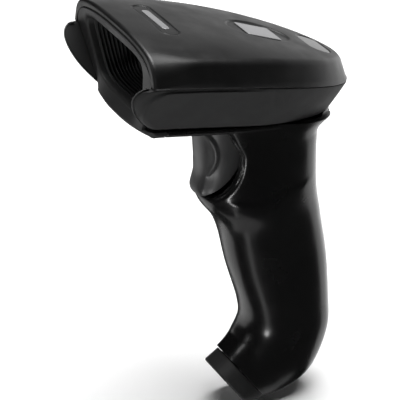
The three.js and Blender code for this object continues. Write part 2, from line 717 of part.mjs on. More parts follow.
// Carries the light of the status LED back and up through the cover to the status lens.
function lightPipe() {
  const shape = new THREE.Shape(pipeOutline.map(([y, z]) => new THREE.Vector2(y, z)));
  const bar = new THREE.ExtrudeGeometry(shape, { depth: pipeWidth, bevelEnabled: false });
  bar.translate(0, 0, -pipeWidth / 2).rotateX(Math.PI / 2).rotateZ(Math.PI / 2);
  return toSolid(bar);
}

// ---- Screws and wiring ----

// A pan-head screw pointing up, with the outer face of its head at z = 0.
function screw(shankRadius, headRadius, headHeight, length) {
  const profile = [
    [0, 0], [headRadius, 0], [headRadius, headHeight],
    [shankRadius, headHeight], [shankRadius, length], [0, length],
  ];
  const turned = new THREE.LatheGeometry(profile.map(([r, z]) => new THREE.Vector2(r, z)), 16);
  return toSolid(turned.rotateX(Math.PI / 2)).subtract(box(2 * headRadius, 0.6, 1));
}

function coverScrewBody({ x, y }) {
  const { seat, length, shank, head, headHeight } = coverScrew;
  return screw(shank, head, headHeight, length).translate([x, y, seamZ(y) + seat - gap - headHeight]);
}

function ribbonCable() {
  const [x, y] = [ribbon.width / 2, ribbon.thickness / 2];
  const corners = [[-x, -y], [x, -y], [x, y], [-x, y]];
  return sweep(ribbonRoute, new THREE.Shape(corners.map(([u, v]) => new THREE.Vector2(u, v))), 16);
}

function socketHarness() {
  return sweep(harnessRoute, new THREE.Shape().absarc(0, 0, harnessRadius, 0, 2 * Math.PI), 14);
}

function handleBoardPlate() {
  const { y, z, width, thickness, length } = handleBoard;
  return place(box(width, thickness, length), gripLean, 0, y, z);
}

// ---- Cable end, in the collar's frame: its face is at z = 0 and the grip lies above ----

// The collar's heel swells from its face to meet the butt of the grip.
function socketCollar() {
  const { length } = cableEnd;
  const ring = (inset, z) => {
    const heel = collar.heel * Math.sin((Math.PI / 2) * Math.min(z / length, 1)) / 2;
    return sectionRing({ ...collar, y: heel, z, tilt: 0, depth: collar.depth + heel }, inset);
  };
  const outside = loft([ring(0.5, 0), ...[0.5, 1.8, 3.5, 5.2, length - gap].map((z) => ring(0, z))]);
  const spigot = loft([length - 1, length + collar.spigot].map((z) => ring(collar.spigotInset, z)));
  return outside.add(spigot)
    .subtract(box(socket.width + 2 * gap, socket.height + 2 * gap, 60));
}

function cableSocket() {
  const { width, height, length, face, mouthWidth, mouthHeight, mouthDepth, latch } = socket;
  return box(width, height, length, 0, 0, length / 2 + face)
    .subtract(box(mouthWidth, mouthHeight, 2 * mouthDepth, 0, 0, face))
    .subtract(box(latch.width, latch.height, 2 * mouthDepth, 0, mouthHeight / 2, face));
}

// ---- Assembly ----

const scanner = new THREE.Group();

// The head's frame follows the slope of the parting line.
const headFrame = new THREE.Group();
headFrame.position.set(0, 0, seamHeight);
headFrame.rotation.x = -headPitch;
scanner.add(headFrame);

const collarFrame = new THREE.Group();
collarFrame.position.set(0, cableEnd.y, cableEnd.z);
collarFrame.rotation.x = -THREE.MathUtils.degToRad(cableEnd.tilt);
scanner.add(collarFrame);

function addPiece(name, solid, look, parent = scanner) {
  const mesh = new THREE.Mesh(toGeometry(solid), look);
  mesh.name = name;
  parent.add(mesh);
}

function addShells() {
  addPiece('top_cover', topCover(), satinPlastic);
  addPiece('handle_housing', handleHousing(), glossPlastic);
  addPiece('side_bumper', sideBumper(), rubber);
  addPiece('nose_bezel', noseBezel(), mattePlastic);
  addPiece('light_baffle', lightBaffle(), mattePlastic);
  addPiece('front_nameplate', crownPlate(nameplate, 0, nameplate.sink, 0.6), badgeMetal);
  addPiece('rear_badge', crownPlate(badge, 0, badge.sink, 0.6), badgeMetal);
  addPiece('status_lens', crownPlate(statusLens, 0, statusLens.sink, 1.1), clearLens);
  coverScrewPlaces.forEach((spot, i) => addPiece(`cover_screw_${i + 1}`, coverScrewBody(spot), steel));
}

function addLighting() {
  const { width, height, thickness, y } = exitWindow;
  addPiece('window_gasket', windowGasket(), rubber, headFrame);
  addPiece('exit_window', box(width, thickness, height, 0, y, axisZ), clearRed, headFrame);
  addPiece('led_lens_bar', ledLensBar(), clearLens, headFrame);
  addPiece('led_board', box(34, 1.2, 5.6, 0, leds.y + 1.3, leds.z), boardGreen, headFrame);
  for (let i = 0; i < leds.count; i += 1) {
    const x = (i - (leds.count - 1) / 2) * leds.pitch;
    addPiece(`led_${i + 1}`, box(leds.size, 0.8, leds.size, x, leds.y, leds.z), ledYellow, headFrame);
  }
}

function addImager() {
  const boardTop = boardZ + mainBoard.thickness + gap;
  const boardRear = mainBoard.front + mainBoard.length;
  addPiece('optics_chassis', opticsChassis(), mattePlastic, headFrame);
  addPiece('lens_barrel', lensBarrel(), chipBlack, headFrame);
  addPiece('objective_lens', rod(2.6, 2.4, 'y', 0, barrel.y - 2.6, axisZ), clearLens, headFrame);
  addPiece('sensor_board', box(sensor.width, 1.2, sensor.height, 0, sensor.y, axisZ), boardGreen, headFrame);
  addPiece('line_sensor', box(sensor.width - 1, 1.4, 3, 0, sensor.y - 1.6, axisZ), chipBlack, headFrame);
  addPiece('main_board', mainBoardPlate(), boardGreen, headFrame);
  addPiece('decoder_chip', box(11, 11, 1.4, -3, mainBoard.front + 8, boardTop + 0.7), chipBlack, headFrame);
  addPiece('buzzer', rod(4.4, 2.8, 'z', 5, mainBoard.front + 18.5, boardTop + 1.4), chipBlack, headFrame);
  addPiece('status_led', box(2, 1.6, 0.9, 0, boardRear - 1.1, boardTop + 0.45), ledYellow, headFrame);
  addPiece('board_screw_1', boardScrewBody(-1), steel, headFrame);
  addPiece('board_screw_2', boardScrewBody(1), steel, headFrame);
  addPiece('light_pipe', lightPipe(), clearLens);
}

function addHandleParts() {
  addPiece('trigger', trigger(), satinPlastic);
  addPiece('trigger_pin', triggerPin(), steel);
  addPiece('trigger_spring', triggerSpring(), steel);
  addPiece('handle_board', handleBoardPlate(), boardGreen);
  addPiece('trigger_switch', triggerSwitch(), chipBlack);
  addPiece('switch_plunger', switchPlunger(), mattePlastic);
  addPiece('ribbon_cable', ribbonCable(), flexAmber);
  addPiece('socket_harness', socketHarness(), rubber);
  addPiece('socket_collar', socketCollar(), mattePlastic, collarFrame);
  addPiece('cable_socket', cableSocket(), chipBlack, collarFrame);
}

addShells();
addLighting();
addImager();
addHandleParts();

// The origin is the middle of the underside of the scanner's box.
const bounds = new THREE.Box3().setFromObject(scanner, true);
scanner.position.set(0, -(bounds.min.y + bounds.max.y) / 2, -bounds.min.z);

export default scanner;
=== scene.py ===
"""Looks of the handheld barcode scanner: fine shells, trigger and cable end over the CAD frame.

Shapes are worked out in the design frame of the CAD, in millimetres: X = 0 is the plane of symmetry,
the nose looks towards -Y, and the parting line of the head gives the heights.
"""
import json
import math

import bmesh
import bpy
import numpy as np
from mathutils import Matrix, Vector

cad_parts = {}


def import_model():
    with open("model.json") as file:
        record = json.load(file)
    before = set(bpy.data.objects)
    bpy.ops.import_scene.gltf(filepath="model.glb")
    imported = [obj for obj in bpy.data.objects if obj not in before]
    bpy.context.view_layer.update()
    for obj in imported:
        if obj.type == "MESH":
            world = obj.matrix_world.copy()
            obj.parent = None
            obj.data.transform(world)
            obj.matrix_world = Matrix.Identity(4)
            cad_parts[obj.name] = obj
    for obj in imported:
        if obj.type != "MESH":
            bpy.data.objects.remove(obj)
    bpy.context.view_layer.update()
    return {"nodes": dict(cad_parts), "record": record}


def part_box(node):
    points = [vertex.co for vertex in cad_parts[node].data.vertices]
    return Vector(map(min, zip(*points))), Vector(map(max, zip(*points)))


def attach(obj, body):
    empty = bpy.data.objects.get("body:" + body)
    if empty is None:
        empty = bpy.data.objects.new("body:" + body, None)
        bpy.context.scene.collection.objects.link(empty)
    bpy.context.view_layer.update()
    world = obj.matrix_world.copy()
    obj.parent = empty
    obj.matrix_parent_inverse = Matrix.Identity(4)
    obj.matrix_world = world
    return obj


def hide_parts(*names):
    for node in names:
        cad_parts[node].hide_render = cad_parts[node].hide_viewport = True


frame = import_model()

MM = 0.001

# ---- Driving dimensions, as in the CAD ----

FAR_FRONT = -60.0     # well in front of the nose, for shapes that run out of it
ACROSS = 60.0         # more than the scanner's width at the grip, for tools that pass right through
WALL = 2.2
GAP = 0.3
BUMPER_THICKNESS = 3.2
SEAM_HEIGHT = 146.7
SEAM_SLOPE = 0.27
SEAM_SAG = 0.0015
HEAD_PITCH = math.atan(SEAM_SLOPE)
SEAM = dict(half_width=32.0, front=-38.0, rear=49.5, fullness=2.5, rise=0.0, tail_rise=0.0)
CREASE = dict(half_width=29.6, front=-38.0, rear=46.8, fullness=2.15, rise=8.8, tail_rise=7.8)
FOOT = dict(half_width=21.0, front=-34.5, rear=43.5, fullness=3.2, rise=-19.5, tail_rise=-11.5)
CROWN_HEIGHT = 3.8
CROWN_POWER = 3
CROWN_FALL = 1.6
COVER_LENGTH = 85.0   # about, to turn distances from the nose into shares
FOOT_BEND = 2.6
RIM_BAND = 1.8
EAR_REACH = 6.6
EAR_CREST = 0.3
EAR_FALL = 14.0
EAR_CORNER = dict(share=0.3, radius=5.2)
NOSE = dict(y=-38.4, z=162.0, rake=math.radians(6.5))
BEZEL_DEPTH = 6.5

MOUTH = dict(y=-37.0, z=150.2, half_width=19.5, half_height=11.8, taper=0.2)
THROAT = dict(y=-9.5, z=146.4, half_width=16.0, half_height=6.4, taper=0.05)
BAFFLE_FRONT = 0.25
BAFFLE_WALL = 1.5
PATH_SQUARENESS = 0.4

# Grip stations: centre y and z, tilt in degrees, half depth, half width and squareness.
GRIP_STATIONS = np.array([
    (17.5, 124.5, 12, 25.5, 18.4, 2.4),
    (15.7, 118.5, 7, 22.6, 17.4, 2.4),
    (15.3, 111.0, 0, 22.2, 16.8, 2.4),
    (16.0, 93.0, 0, 22.2, 16.3, 2.3),
    (20.6, 81.0, 0, 19.6, 15.4, 2.2),
    (24.7, 61.4, 0, 18.9, 15.0, 2.2),
    (27.9, 44.0, 2, 17.2, 14.6, 2.2),
    (28.2, 33.0, 12, 17.3, 14.4, 2.2),
    (23.4, 22.2, 32, 17.3, 13.6, 2.3),
    (16.8, 17.5, 48, 15.2, 12.0, 2.4),
    (10.8, 15.45, 55, 12.7, 10.7, 2.6),
])

TRIGGER_CUT = dict(y=-17.1, z=111.5, radius=20.0)
TRIGGER_BACK = dict(y=-17.1, z=117.0, radius=23.0)
TRIGGER_CENTRE_Y = 12.0
# Trigger stations: height, front y, half width.
TRIGGER_STATIONS = np.array([
    (123.6, -8.2, 11.6),
    (112.0, -7.4, 11.4),
    (104.0, -7.2, 11.0),
    (97.5, -8.8, 10.6),
    (94.5, -7.6, 10.2),
])
TRIGGER_SQUARE = 2.6
TRIGGER_PIVOT = dict(y=1.5, z=121.4, bore=1.55)
TRIGGER_TRAVEL = 4
TRIGGER_ROOM = 0.5
TRIGGER_ROOF = 3.4

# ---- The head's surface ----


def lerp(a, b, share):
    return a + (b - a) * share


def smooth(value):
    t = np.clip(value, 0, 1)
    return t * t * (3 - 2 * t)


def seam_z(y):
    return SEAM_HEIGHT - SEAM_SLOPE * y - SEAM_SAG * y * y


def mix_levels(a, b, share):
    return {key: lerp(a[key], b[key], share) for key in a}


def crown_z(x, y, inset=0.0):
    """Height of the top cover's crown."""
    half_width = CREASE["half_width"] - inset
    length = CREASE["rear"] - inset - CREASE["front"]
    share = np.clip((y - CREASE["front"]) / length, 0, 1)
    edge = half_width * np.sqrt(np.maximum(1 - share ** CREASE["fullness"], 1e-9))
    climb = (CREASE["tail_rise"] - CREASE["rise"]) * share ** FOOT_BEND
    dome = CROWN_HEIGHT * (1 - share ** CROWN_FALL) * (1 - np.clip(np.abs(x) / edge, 0, 1) ** CROWN_POWER)
    return seam_z(y) + CREASE["rise"] + climb + dome - inset


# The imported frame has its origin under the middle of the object's box.
SHIFT = Vector((
    0,
    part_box("top_cover")[1].y / MM - SEAM["rear"],
    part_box("top_cover")[1].z / MM - float(crown_z(0.0, CREASE["front"])),
))


def level_z(level, y, inset=0.0, lift=0.0):
    length = level["rear"] - inset - level["front"]
    share = np.clip((y - level["front"]) / length, 0, 1)
    return seam_z(y) + level["rise"] + (level["tail_rise"] - level["rise"]) * share ** FOOT_BEND + lift


def row_shares(steps, edge=()):
    """Shares of a level's length, denser towards the tail and at given distances from the nose."""
    even = 1 - (1 - np.linspace(0, 1, steps + 1)) ** 2
    return np.unique(np.concatenate([even, np.array(edge) / COVER_LENGTH]))


# ---- Meshes ----


def link_mesh(name, mesh):
    obj = bpy.data.objects.new(name, mesh)
    bpy.context.scene.collection.objects.link(obj)
    return obj


def make_object(name, points, faces):
    mesh = bpy.data.meshes.new(name)
    mesh.from_pydata(np.asarray(points, float).tolist(), [], faces)
    mesh.validate()
    return link_mesh(name, mesh)


def object_from(work, name):
    """Turns a bmesh, which is used up, into an object."""
    mesh = bpy.data.meshes.new(name)
    work.to_mesh(mesh)
    work.free()
    return link_mesh(name, mesh)


def tidy_mesh(obj, merge=1e-4):
    """Joins points that coincide and turns every face outwards."""
    work = bmesh.new()
    work.from_mesh(obj.data)
    bmesh.ops.remove_doubles(work, verts=work.verts, dist=merge)
    bmesh.ops.dissolve_degenerate(work, edges=work.edges, dist=merge / 10)
    bmesh.ops.recalc_face_normals(work, faces=work.faces)
    if work.calc_volume(signed=True) < 0:
        bmesh.ops.reverse_faces(work, faces=work.faces)
    work.to_mesh(obj.data)
    work.free()
    return obj


def strip_faces(rows, columns, wrap):
    last = columns if wrap else columns - 1
    faces = []
    for r in range(rows - 1):
        for c in range(last):
            d = (c + 1) % columns
            faces.append((r * columns + c, r * columns + d, (r + 1) * columns + d, (r + 1) * columns + c))
    return faces


def loft_solid(name, rings):
    """Closes a stack of rings, shape (rings, points, 3), with a fan at each end."""
    rings = np.asarray(rings, float)
    count, size = rings.shape[:2]
    points = np.concatenate([rings.reshape(-1, 3), [rings[0].mean(0), rings[-1].mean(0)]])
    faces = strip_faces(count, size, True)
    bottom, top = count * size, count * size + 1
    base = (count - 1) * size
    for i in range(size):
        j = (i + 1) % size
        faces.append((bottom, j, i))
        faces.append((top, base + i, base + j))
    return tidy_mesh(make_object(name, points, faces))


def head_solid(name, rows):
    """Closes rows of the head from the middle of its floor to the middle of its crown."""
    rows = np.asarray(rows, float)
    count, size = rows.shape[:2]
    return tidy_mesh(make_object(name, rows.reshape(-1, 3), strip_faces(count, size, True)))


def apply_modifiers(obj):
    graph = bpy.context.evaluated_depsgraph_get()
    result = bpy.data.meshes.new_from_object(obj.evaluated_get(graph))
    obj.modifiers.clear()
    obj.data = result
    return obj


def combine(target, tool, operation):
    """Joins, cuts or intersects the target with a tool, which is used up."""
    step = target.modifiers.new("combine", "BOOLEAN")
    step.operation = operation
    step.solver = "MANIFOLD"
    step.object = tool
    apply_modifiers(target)
    bpy.data.objects.remove(tool)
    return target


def cut(target, tool):
    return combine(target, tool, "DIFFERENCE")


def join(target, tool):
    return combine(target, tool, "UNION")


def keep(target, tool):
    return combine(target, tool, "INTERSECT")


def bevel(obj, width, segments=2, angle=40):
    """Rounds an object's sharp edges."""
    step = obj.modifiers.new("round", "BEVEL")
    step.width = width
    step.segments = segments
    step.limit_method = "ANGLE"
    step.angle_limit = math.radians(angle)
    return apply_modifiers(obj)


def box_solid(name, width, depth, height, x=0.0, y=0.0, z=0.0):
    work = bmesh.new()
    bmesh.ops.create_cube(work, size=1)
    bmesh.ops.scale(work, vec=(width, depth, height), verts=work.verts)
    bmesh.ops.translate(work, vec=(x, y, z), verts=work.verts)
    return object_from(work, name)


def move(obj, matrix):
    obj.data.transform(matrix)
    return obj


def grid_normals(grid):
    """Unit normals of a grid of points, on the side that faces away from its middle."""
    normals = np.cross(np.gradient(grid, axis=0), np.gradient(grid, axis=1))
    normals /= np.maximum(np.linalg.norm(normals, axis=-1, keepdims=True), 1e-9)
    outward = ((grid - grid.reshape(-1, 3).mean(0)) * normals).sum()
    return normals * np.sign(outward)


# ---- Signed distances of the flat details ----


def rounded_box_distance(x, y, half_width, half_depth, radius):
    across = np.abs(x) - (half_width - radius)
    along = np.abs(y) - (half_depth - radius)
    outside = np.hypot(np.maximum(across, 0), np.maximum(along, 0))
    return outside + np.minimum(np.maximum(across, along), 0) - radius


def ellipse_distance(x, y, half_width, half_depth):
    reach = np.hypot(x / half_width, y / half_depth)
    return (reach - 1) * min(half_width, half_depth)


def sunk(distance, depth, edge):
    """How far a recess goes down at a distance from its outline, with a rounded step of a given width."""
    return depth * smooth(0.5 - distance / edge)


# ---- Top cover ----

# Recesses in the crown, and the plates that lie in them.
NAMEPLATE_RECESS = dict(half_width=13.5, half_depth=3.3, radius=3.2, y=-22.5, sink=0.45, edge=0.5)
NAMEPLATE = dict(half_width=13.2, half_depth=3.0, radius=2.95, y=-22.5, sink=0.3, thickness=0.6)
INLAY = dict(half_width=8.6, half_depth=1.35, radius=1.3, y=-22.5, sink=0.16, thickness=0.3)
BADGE_RECESS = dict(half_width=8.0, half_depth=11.5, y=16.0, sink=0.55, edge=0.9)
BADGE = dict(half_width=5.5, half_depth=6.5, radius=0.8, y=16.0, sink=0.25, thickness=0.6)
LENS_RECESS = dict(half_width=7.5, half_depth=4.5, radius=4.4, y=38.0, sink=0.4, edge=0.5)
LENS = dict(half_width=7.2, half_depth=4.2, radius=4.1, y=38.0, sink=0.2, thickness=1.0)
PLATE_ARC_POINTS = 12
TAIL_PULL = dict(reach=9.0, power=6)                # how far the crown's rows lean forward at the tail
CREASE_EDGE = dict(nose=5.0, rear=1.7, share=0.22)  # the edge's radius, and where it is down to the rear one
CREASE_STEPS = 8
MIN_CROWN = 1.3                                     # least half width of the crown, in edge radii
FRONT_EDGE = 1.3                                    # radius of the cover's front edge
FRONT_EDGE_ROWS = (0.1, 0.25, 0.45, 0.7, 1.0, 1.3, 1.7)  # their distances from the nose
LOWER_EDGE = dict(rise=0.45, inset=0.35, lengthwise=0.3)


def crease_radius(share):
    """The cover's edge is round at the nose corners and crisper behind them."""
    return lerp(CREASE_EDGE["nose"], CREASE_EDGE["rear"], smooth(share / CREASE_EDGE["share"]))


def box_recess(x, y, recess):
    """Depth of a recess with round corners."""
    outline = rounded_box_distance(x, y - recess["y"], recess["half_width"],
                                   recess["half_depth"], recess["radius"])
    return sunk(outline, recess["sink"], recess["edge"])


def cover_details(x, y):
    """Depth of the recesses for the nameplate, the badge and the status lens."""
    badge = BADGE_RECESS
    outline = ellipse_distance(x, y - badge["y"], badge["half_width"], badge["half_depth"])
    depth = box_recess(x, y, NAMEPLATE_RECESS) + sunk(outline, badge["sink"], badge["edge"])
    return depth + box_recess(x, y, LENS_RECESS)


def upper_head(name, inset, floor, reach=None, steps=60, side_rows=6, crown_rows=16, fine=False):
    """The space inside the top cover's surface, or inside an inset of it."""
    shares = row_shares(steps, FRONT_EDGE_ROWS if fine else ())
    seam_x, seam_y = ring_xy(SEAM, shares, inset, reach)
    crease_x, crease_y = ring_xy(CREASE, shares, inset, reach)
    seam = np.stack([seam_x, seam_y, seam_z(seam_y)], -1)
    crease = np.stack([crease_x, crease_y, level_z(CREASE, crease_y, inset, -inset)], -1)
    along = np.clip((crease_y - CREASE["front"]) / (CREASE["rear"] - CREASE["front"]), 0, 1)
    pull = TAIL_PULL["reach"] * along ** TAIL_PULL["power"]

    def crown(narrow):
        x = crease_x * narrow
        y = crease_y - (1 - narrow) * pull
        return np.stack([x, y, crown_z(x, y, inset)], -1)

    radius = crease_radius(along)
    side_length = np.linalg.norm(seam - crease, axis=-1)
    start = crease + (seam - crease) * (radius / side_length)[:, None]
    crown_start = 1 - radius / np.maximum(np.hypot(crease_x, pull), radius * MIN_CROWN)
    end = crown(crown_start)
    rows = [lerp(seam, start, v) for v in np.linspace(0, 1, side_rows)]
    for t in np.linspace(0, 1, CREASE_STEPS + 1)[1:]:
        rows.append((1 - t) ** 2 * start + 2 * t * (1 - t) * crease + t * t * end)
    rows += [crown(crown_start * (1 - v)) for v in np.linspace(0, 1, crown_rows)[1:]]
    rows = np.array(rows)
    if fine:
        rows = round_cover(rows, side_rows + CREASE_STEPS - 1)
    floor_row = rows[0].copy()
    floor_row[:, 2] += floor
    if fine:
        rows[0, :, 2] += floor + LOWER_EDGE["rise"]
        floor_row = inward(floor_row, LOWER_EDGE["inset"])
    middle = floor_row * np.array([0, 1, 1])
    return head_solid(name, np.concatenate([[middle, floor_row], rows]))


def inward(row, amount):
    """Moves a row of the head towards the middle of the nose, less along the head than across it."""
    centre = np.array([0, SEAM["front"], 0])
    flat = (row - centre) * np.array([1, 1, 0])
    length = np.maximum(np.linalg.norm(flat, axis=-1, keepdims=True), 1e-6)
    share = np.minimum(length, amount) / length
    return row - flat * share * np.array([1, LOWER_EDGE["lengthwise"], 0])


def ring_xy(level, shares, inset, reach):
    """x and y of a level's D-shaped outline from the near side, round the tail, to the far side."""
    length = level["rear"] - inset - level["front"]
    side = (level["half_width"] - inset) * np.sqrt(np.maximum(1 - shares ** level["fullness"], 0))
    y = level["front"] + length * shares
    x = np.concatenate([side, -side[-2::-1]])
    y = np.concatenate([y, y[-2::-1]])
    if reach is not None:
        x = np.concatenate([x[:1], x, x[-1:]])
        y = np.concatenate([[reach], y, [reach]])
    return x, y


def round_cover(rows, crown_first):
    """Sinks the details into the crown and rounds the cover's front edge."""
    normals = grid_normals(rows)
    depth = np.zeros(rows.shape[:2])
    depth[crown_first:] = cover_details(rows[crown_first:, :, 0], rows[crown_first:, :, 1])
    behind = np.clip(CREASE["front"] + FRONT_EDGE - rows[..., 1], 0, FRONT_EDGE)
    depth += FRONT_EDGE - np.sqrt(FRONT_EDGE ** 2 - behind ** 2)
    rows = rows - normals * depth[..., None] * np.where(behind[..., None] > 0, [1, 0, 1], [1, 1, 1])
    rows[-1] = (rows[-1] + rows[-1, ::-1]) / 2 * [0, 1, 1]
    return rows


def top_cover():
    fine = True
    cover = upper_head("cover_shell", 0, GAP / 2, steps=300 if fine else 150, side_rows=7,
                       crown_rows=80 if fine else 40, fine=True)
    inside = upper_head("cover_inside", WALL, floor=-4, reach=FAR_FRONT)
    return cut(cover, inside)


def conformal_plate(name, half_width, half_depth, radius, y, sink, thickness):
    """A thin plate that follows the crown a little below its surface, with a rounded edge."""
    angles = np.linspace(0, math.pi / 2, PLATE_ARC_POINTS)
    outline_xy = []
    for quarter in range(4):
        turn = quarter * math.pi / 2
        sign_x = 1 if quarter in (0, 3) else -1
        sign_y = 1 if quarter in (0, 1) else -1
        for angle in angles:
            outline_xy.append((sign_x * (half_width - radius) + radius * math.cos(angle + turn),
                               sign_y * (half_depth - radius) + radius * math.sin(angle + turn)))
    outline_xy = np.array(outline_xy)
    rings = []
    # Share of the outline, and height over the plate's face: the underside, the rounded edge, the face.
    profile = [(0.0, -thickness), (1.0, -thickness), (1.0, -0.18), (0.997, -0.06), (0.985, 0.0)]
    profile += [(share, 0.0) for share in np.linspace(0.93, 0.0, 14)]
    for share, lift in profile:
        x = outline_xy[:, 0] * share
        along = y + outline_xy[:, 1] * share
        rings.append(np.stack([x, along, crown_z(x, along) - sink + lift], -1))
    return head_solid(name, rings)


# ---- Rubber bumper ----

BUMPER_HEIGHT = 20.0
# The raised panel on each side stands out by a step, which fades towards the tail.
PANEL = dict(y=0.0, half_length=39.6, half_height=9.0, radius=8.0, step=1.0, edge=0.8,
             fade_end=12.0, fade=24.0)
OUTER_EDGE = dict(front=3.2, long=0.6, least=0.72)      # radii, and the thickness left at the front
INNER_EDGE = dict(front=1.6, long=0.8, front_share=0.45, long_share=0.5)


def ear_front(share):
    """y of the bumper's front edge between the parting line, share 0, and the foot, share 1."""
    corner = np.clip(1 - share / EAR_CORNER["share"], 0, 1)
    top_round = EAR_CORNER["radius"] * (1 - np.sqrt(1 - corner ** 2))
    reach = EAR_REACH - EAR_FALL * np.maximum(share - EAR_CREST, 0) ** 2 - top_round
    return lerp(SEAM["front"], FOOT["front"], share) - reach


def edge_round(distance, radius):
    """How far a surface falls back at a distance from an edge of a given radius."""
    near = np.clip(radius - distance, 0, radius)
    return radius - np.sqrt(np.maximum(radius ** 2 - near ** 2, 0))


def bumper_row(share, inner, shares, ear_steps):
    """One row of the bumper's outer or inner side: the near ear, the side, the tail and back."""
    level = mix_levels(SEAM, FOOT, share)
    length = level["rear"] - level["front"]
    y = level["front"] + length * shares
    front = float(ear_front(np.array(share)))
    ease = np.sin(np.linspace(0, math.pi / 2, ear_steps + 1))[::-1]
    ear_y = lerp(level["front"], front, ease)[:-1]
    half = np.concatenate([ear_y, y])
    along = np.clip((half - level["front"]) / length, 0, 1)
    from_front = half - front
    from_edge = np.minimum(share, 1 - share) * BUMPER_HEIGHT
    from_edge = np.full_like(half, from_edge)
    if inner:
        edge = INNER_EDGE
        depth = BUMPER_THICKNESS - edge["front_share"] * edge_round(from_front, edge["front"])
        depth = depth - edge["long_share"] * edge_round(from_edge, edge["long"])
    else:
        edge = OUTER_EDGE
        depth = np.minimum(edge_round(from_front, edge["front"]), BUMPER_THICKNESS - edge["least"])
        depth = depth + edge_round(from_edge, edge["long"])
        panel = rounded_box_distance(half - PANEL["y"], (share - 0.5) * BUMPER_HEIGHT,
                                     PANEL["half_length"], PANEL["half_height"], PANEL["radius"])
        rim = smooth(panel / PANEL["edge"] + 0.5) * smooth((PANEL["fade_end"] - half) / PANEL["fade"])
        depth = depth + PANEL["step"] * rim
    shrink = depth / math.hypot(1, (SEAM["half_width"] - FOOT["half_width"]) / BUMPER_HEIGHT)
    side = (level["half_width"] - shrink) * np.sqrt(np.maximum(1 - along ** level["fullness"], 0))
    rear = (level["rear"] - shrink - level["front"]) / length
    half = np.where(along > 0, level["front"] + (half - level["front"]) * rear, half)
    climb = (level["tail_rise"] - level["rise"]) * along ** FOOT_BEND
    z = seam_z(half) + level["rise"] + climb - GAP / 2 * (1 - share)
    x = np.concatenate([side, -side[-2::-1]])
    both = np.concatenate([half, half[-2::-1]])
    return np.stack([x, both, np.concatenate([z, z[-2::-1]])], -1)


def side_bumper():
    """The outer side from the parting line to the foot, the inner side back up, and a cap at each ear."""
    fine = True
    shares = row_shares(180 if fine else 90)
    ear_steps = 26 if fine else 16
    edge = 0.5 - 0.5 * np.cos(np.linspace(0, math.pi, 61 if fine else 31))
    rows = [bumper_row(v, False, shares, ear_steps) for v in edge]
    rows += [bumper_row(v, True, shares, ear_steps) for v in edge[::-1]]
    rows.append(rows[0])
    rows = np.array(rows)
    count, size = rows.shape[:2]
    faces = strip_faces(count, size, False)
    half = len(edge)
    for column in (0, size - 1):
        for r in range(half - 1):
            low, high = r * size + column, (r + 1) * size + column
            back_low, back_high = (2 * half - 1 - r) * size + column, (2 * half - 2 - r) * size + column
            faces.append((low, high, back_high, back_low))
    return tidy_mesh(make_object("bumper_shell", rows.reshape(-1, 3), faces), merge=2e-3)


# ---- Nose ----


def path_ring(share, grow=0.0, scale=1.0, points=96):
    """One rounded trapezoid of the light path, between the mouth, share 0, and the throat."""
    mix = {key: lerp(MOUTH[key], THROAT[key], share) for key in MOUTH}
    turned = min(max((share - BAFFLE_FRONT) / (1 - BAFFLE_FRONT), 0), 1)
    tilt = lerp(-NOSE["rake"], HEAD_PITCH, turned)
    angle = 2 * math.pi * (np.arange(points) + 0.5) / points
    up = np.sign(np.sin(angle)) * np.abs(np.sin(angle)) ** PATH_SQUARENESS
    out = np.sign(np.cos(angle)) * np.abs(np.cos(angle)) ** PATH_SQUARENESS * (1 + mix["taper"] * up)
    rise = (mix["half_height"] * scale + grow) * up
    return np.stack([(mix["half_width"] * scale + grow) * out,
                     mix["y"] + rise * math.sin(tilt), mix["z"] + rise * math.cos(tilt)], -1)


# A rib's section: share of the pitch and share of the rib's height.
RIB_PROFILE = ((0.0, 0.0), (0.3, 0.0), (0.45, 0.3), (0.55, 0.85), (0.66, 1.0), (0.8, 0.85), (0.92, 0.3))
RIBS = dict(first=0.085, pitch=0.05, count=18, depth=0.045)
MOUTH_EDGE = 0.9
BEZEL_LIP = 6.0
LIP_SPREAD = 18.75
LIP_SHARES = (-0.3, 0.5)
LIP_BOW = dict(reach=3.2, half_width=21.0, top=138.6, fall=6.0, depth=6.0, power=2.5, cut_step=1.25)
GROOVE = dict(inset=1.5, width=0.35, depth=0.5, band=18.0, below_seam=10.0)
PATH_ENDS = dict(front=-0.3, rear=1.05)
PATH_EDGE_STEPS = 8
SLAB = dict(width=90.0, height=80.0)


def light_path():
    """The space that light comes in through: a rounded mouth, a smooth strip, and fine ribs all round."""
    length = THROAT["y"] - MOUTH["y"]
    rings = [path_ring(PATH_ENDS["front"], MOUTH_EDGE)]
    for angle in np.linspace(0, math.pi / 2, PATH_EDGE_STEPS + 1):
        depth = MOUTH_EDGE * (1 - math.cos(angle))
        rings.append(path_ring(depth / length, MOUTH_EDGE * (1 - math.sin(angle))))
    for rib in range(RIBS["count"]):
        start = RIBS["first"] + rib * RIBS["pitch"]
        for offset, closed in RIB_PROFILE:
            rings.append(path_ring(start + offset * RIBS["pitch"], scale=1 - RIBS["depth"] * closed))
    rings.append(path_ring(PATH_ENDS["rear"]))
    return loft_solid("light_path", rings)


def light_baffle():
    """The ribbed funnel behind the bezel."""
    skin = loft_solid("baffle_skin", [path_ring(BAFFLE_FRONT, BAFFLE_WALL), path_ring(1, BAFFLE_WALL)])
    return cut(skin, light_path())


def nose_slab(name, front, back):
    """A slab along the nose's raked face, between two depths behind it."""
    slab = box_solid(name, SLAB["width"], back - front, SLAB["height"], 0, (back + front) / 2, 0)
    return move(slab, Matrix.Translation((0, NOSE["y"], NOSE["z"])) @ Matrix.Rotation(NOSE["rake"], 4, "X"))


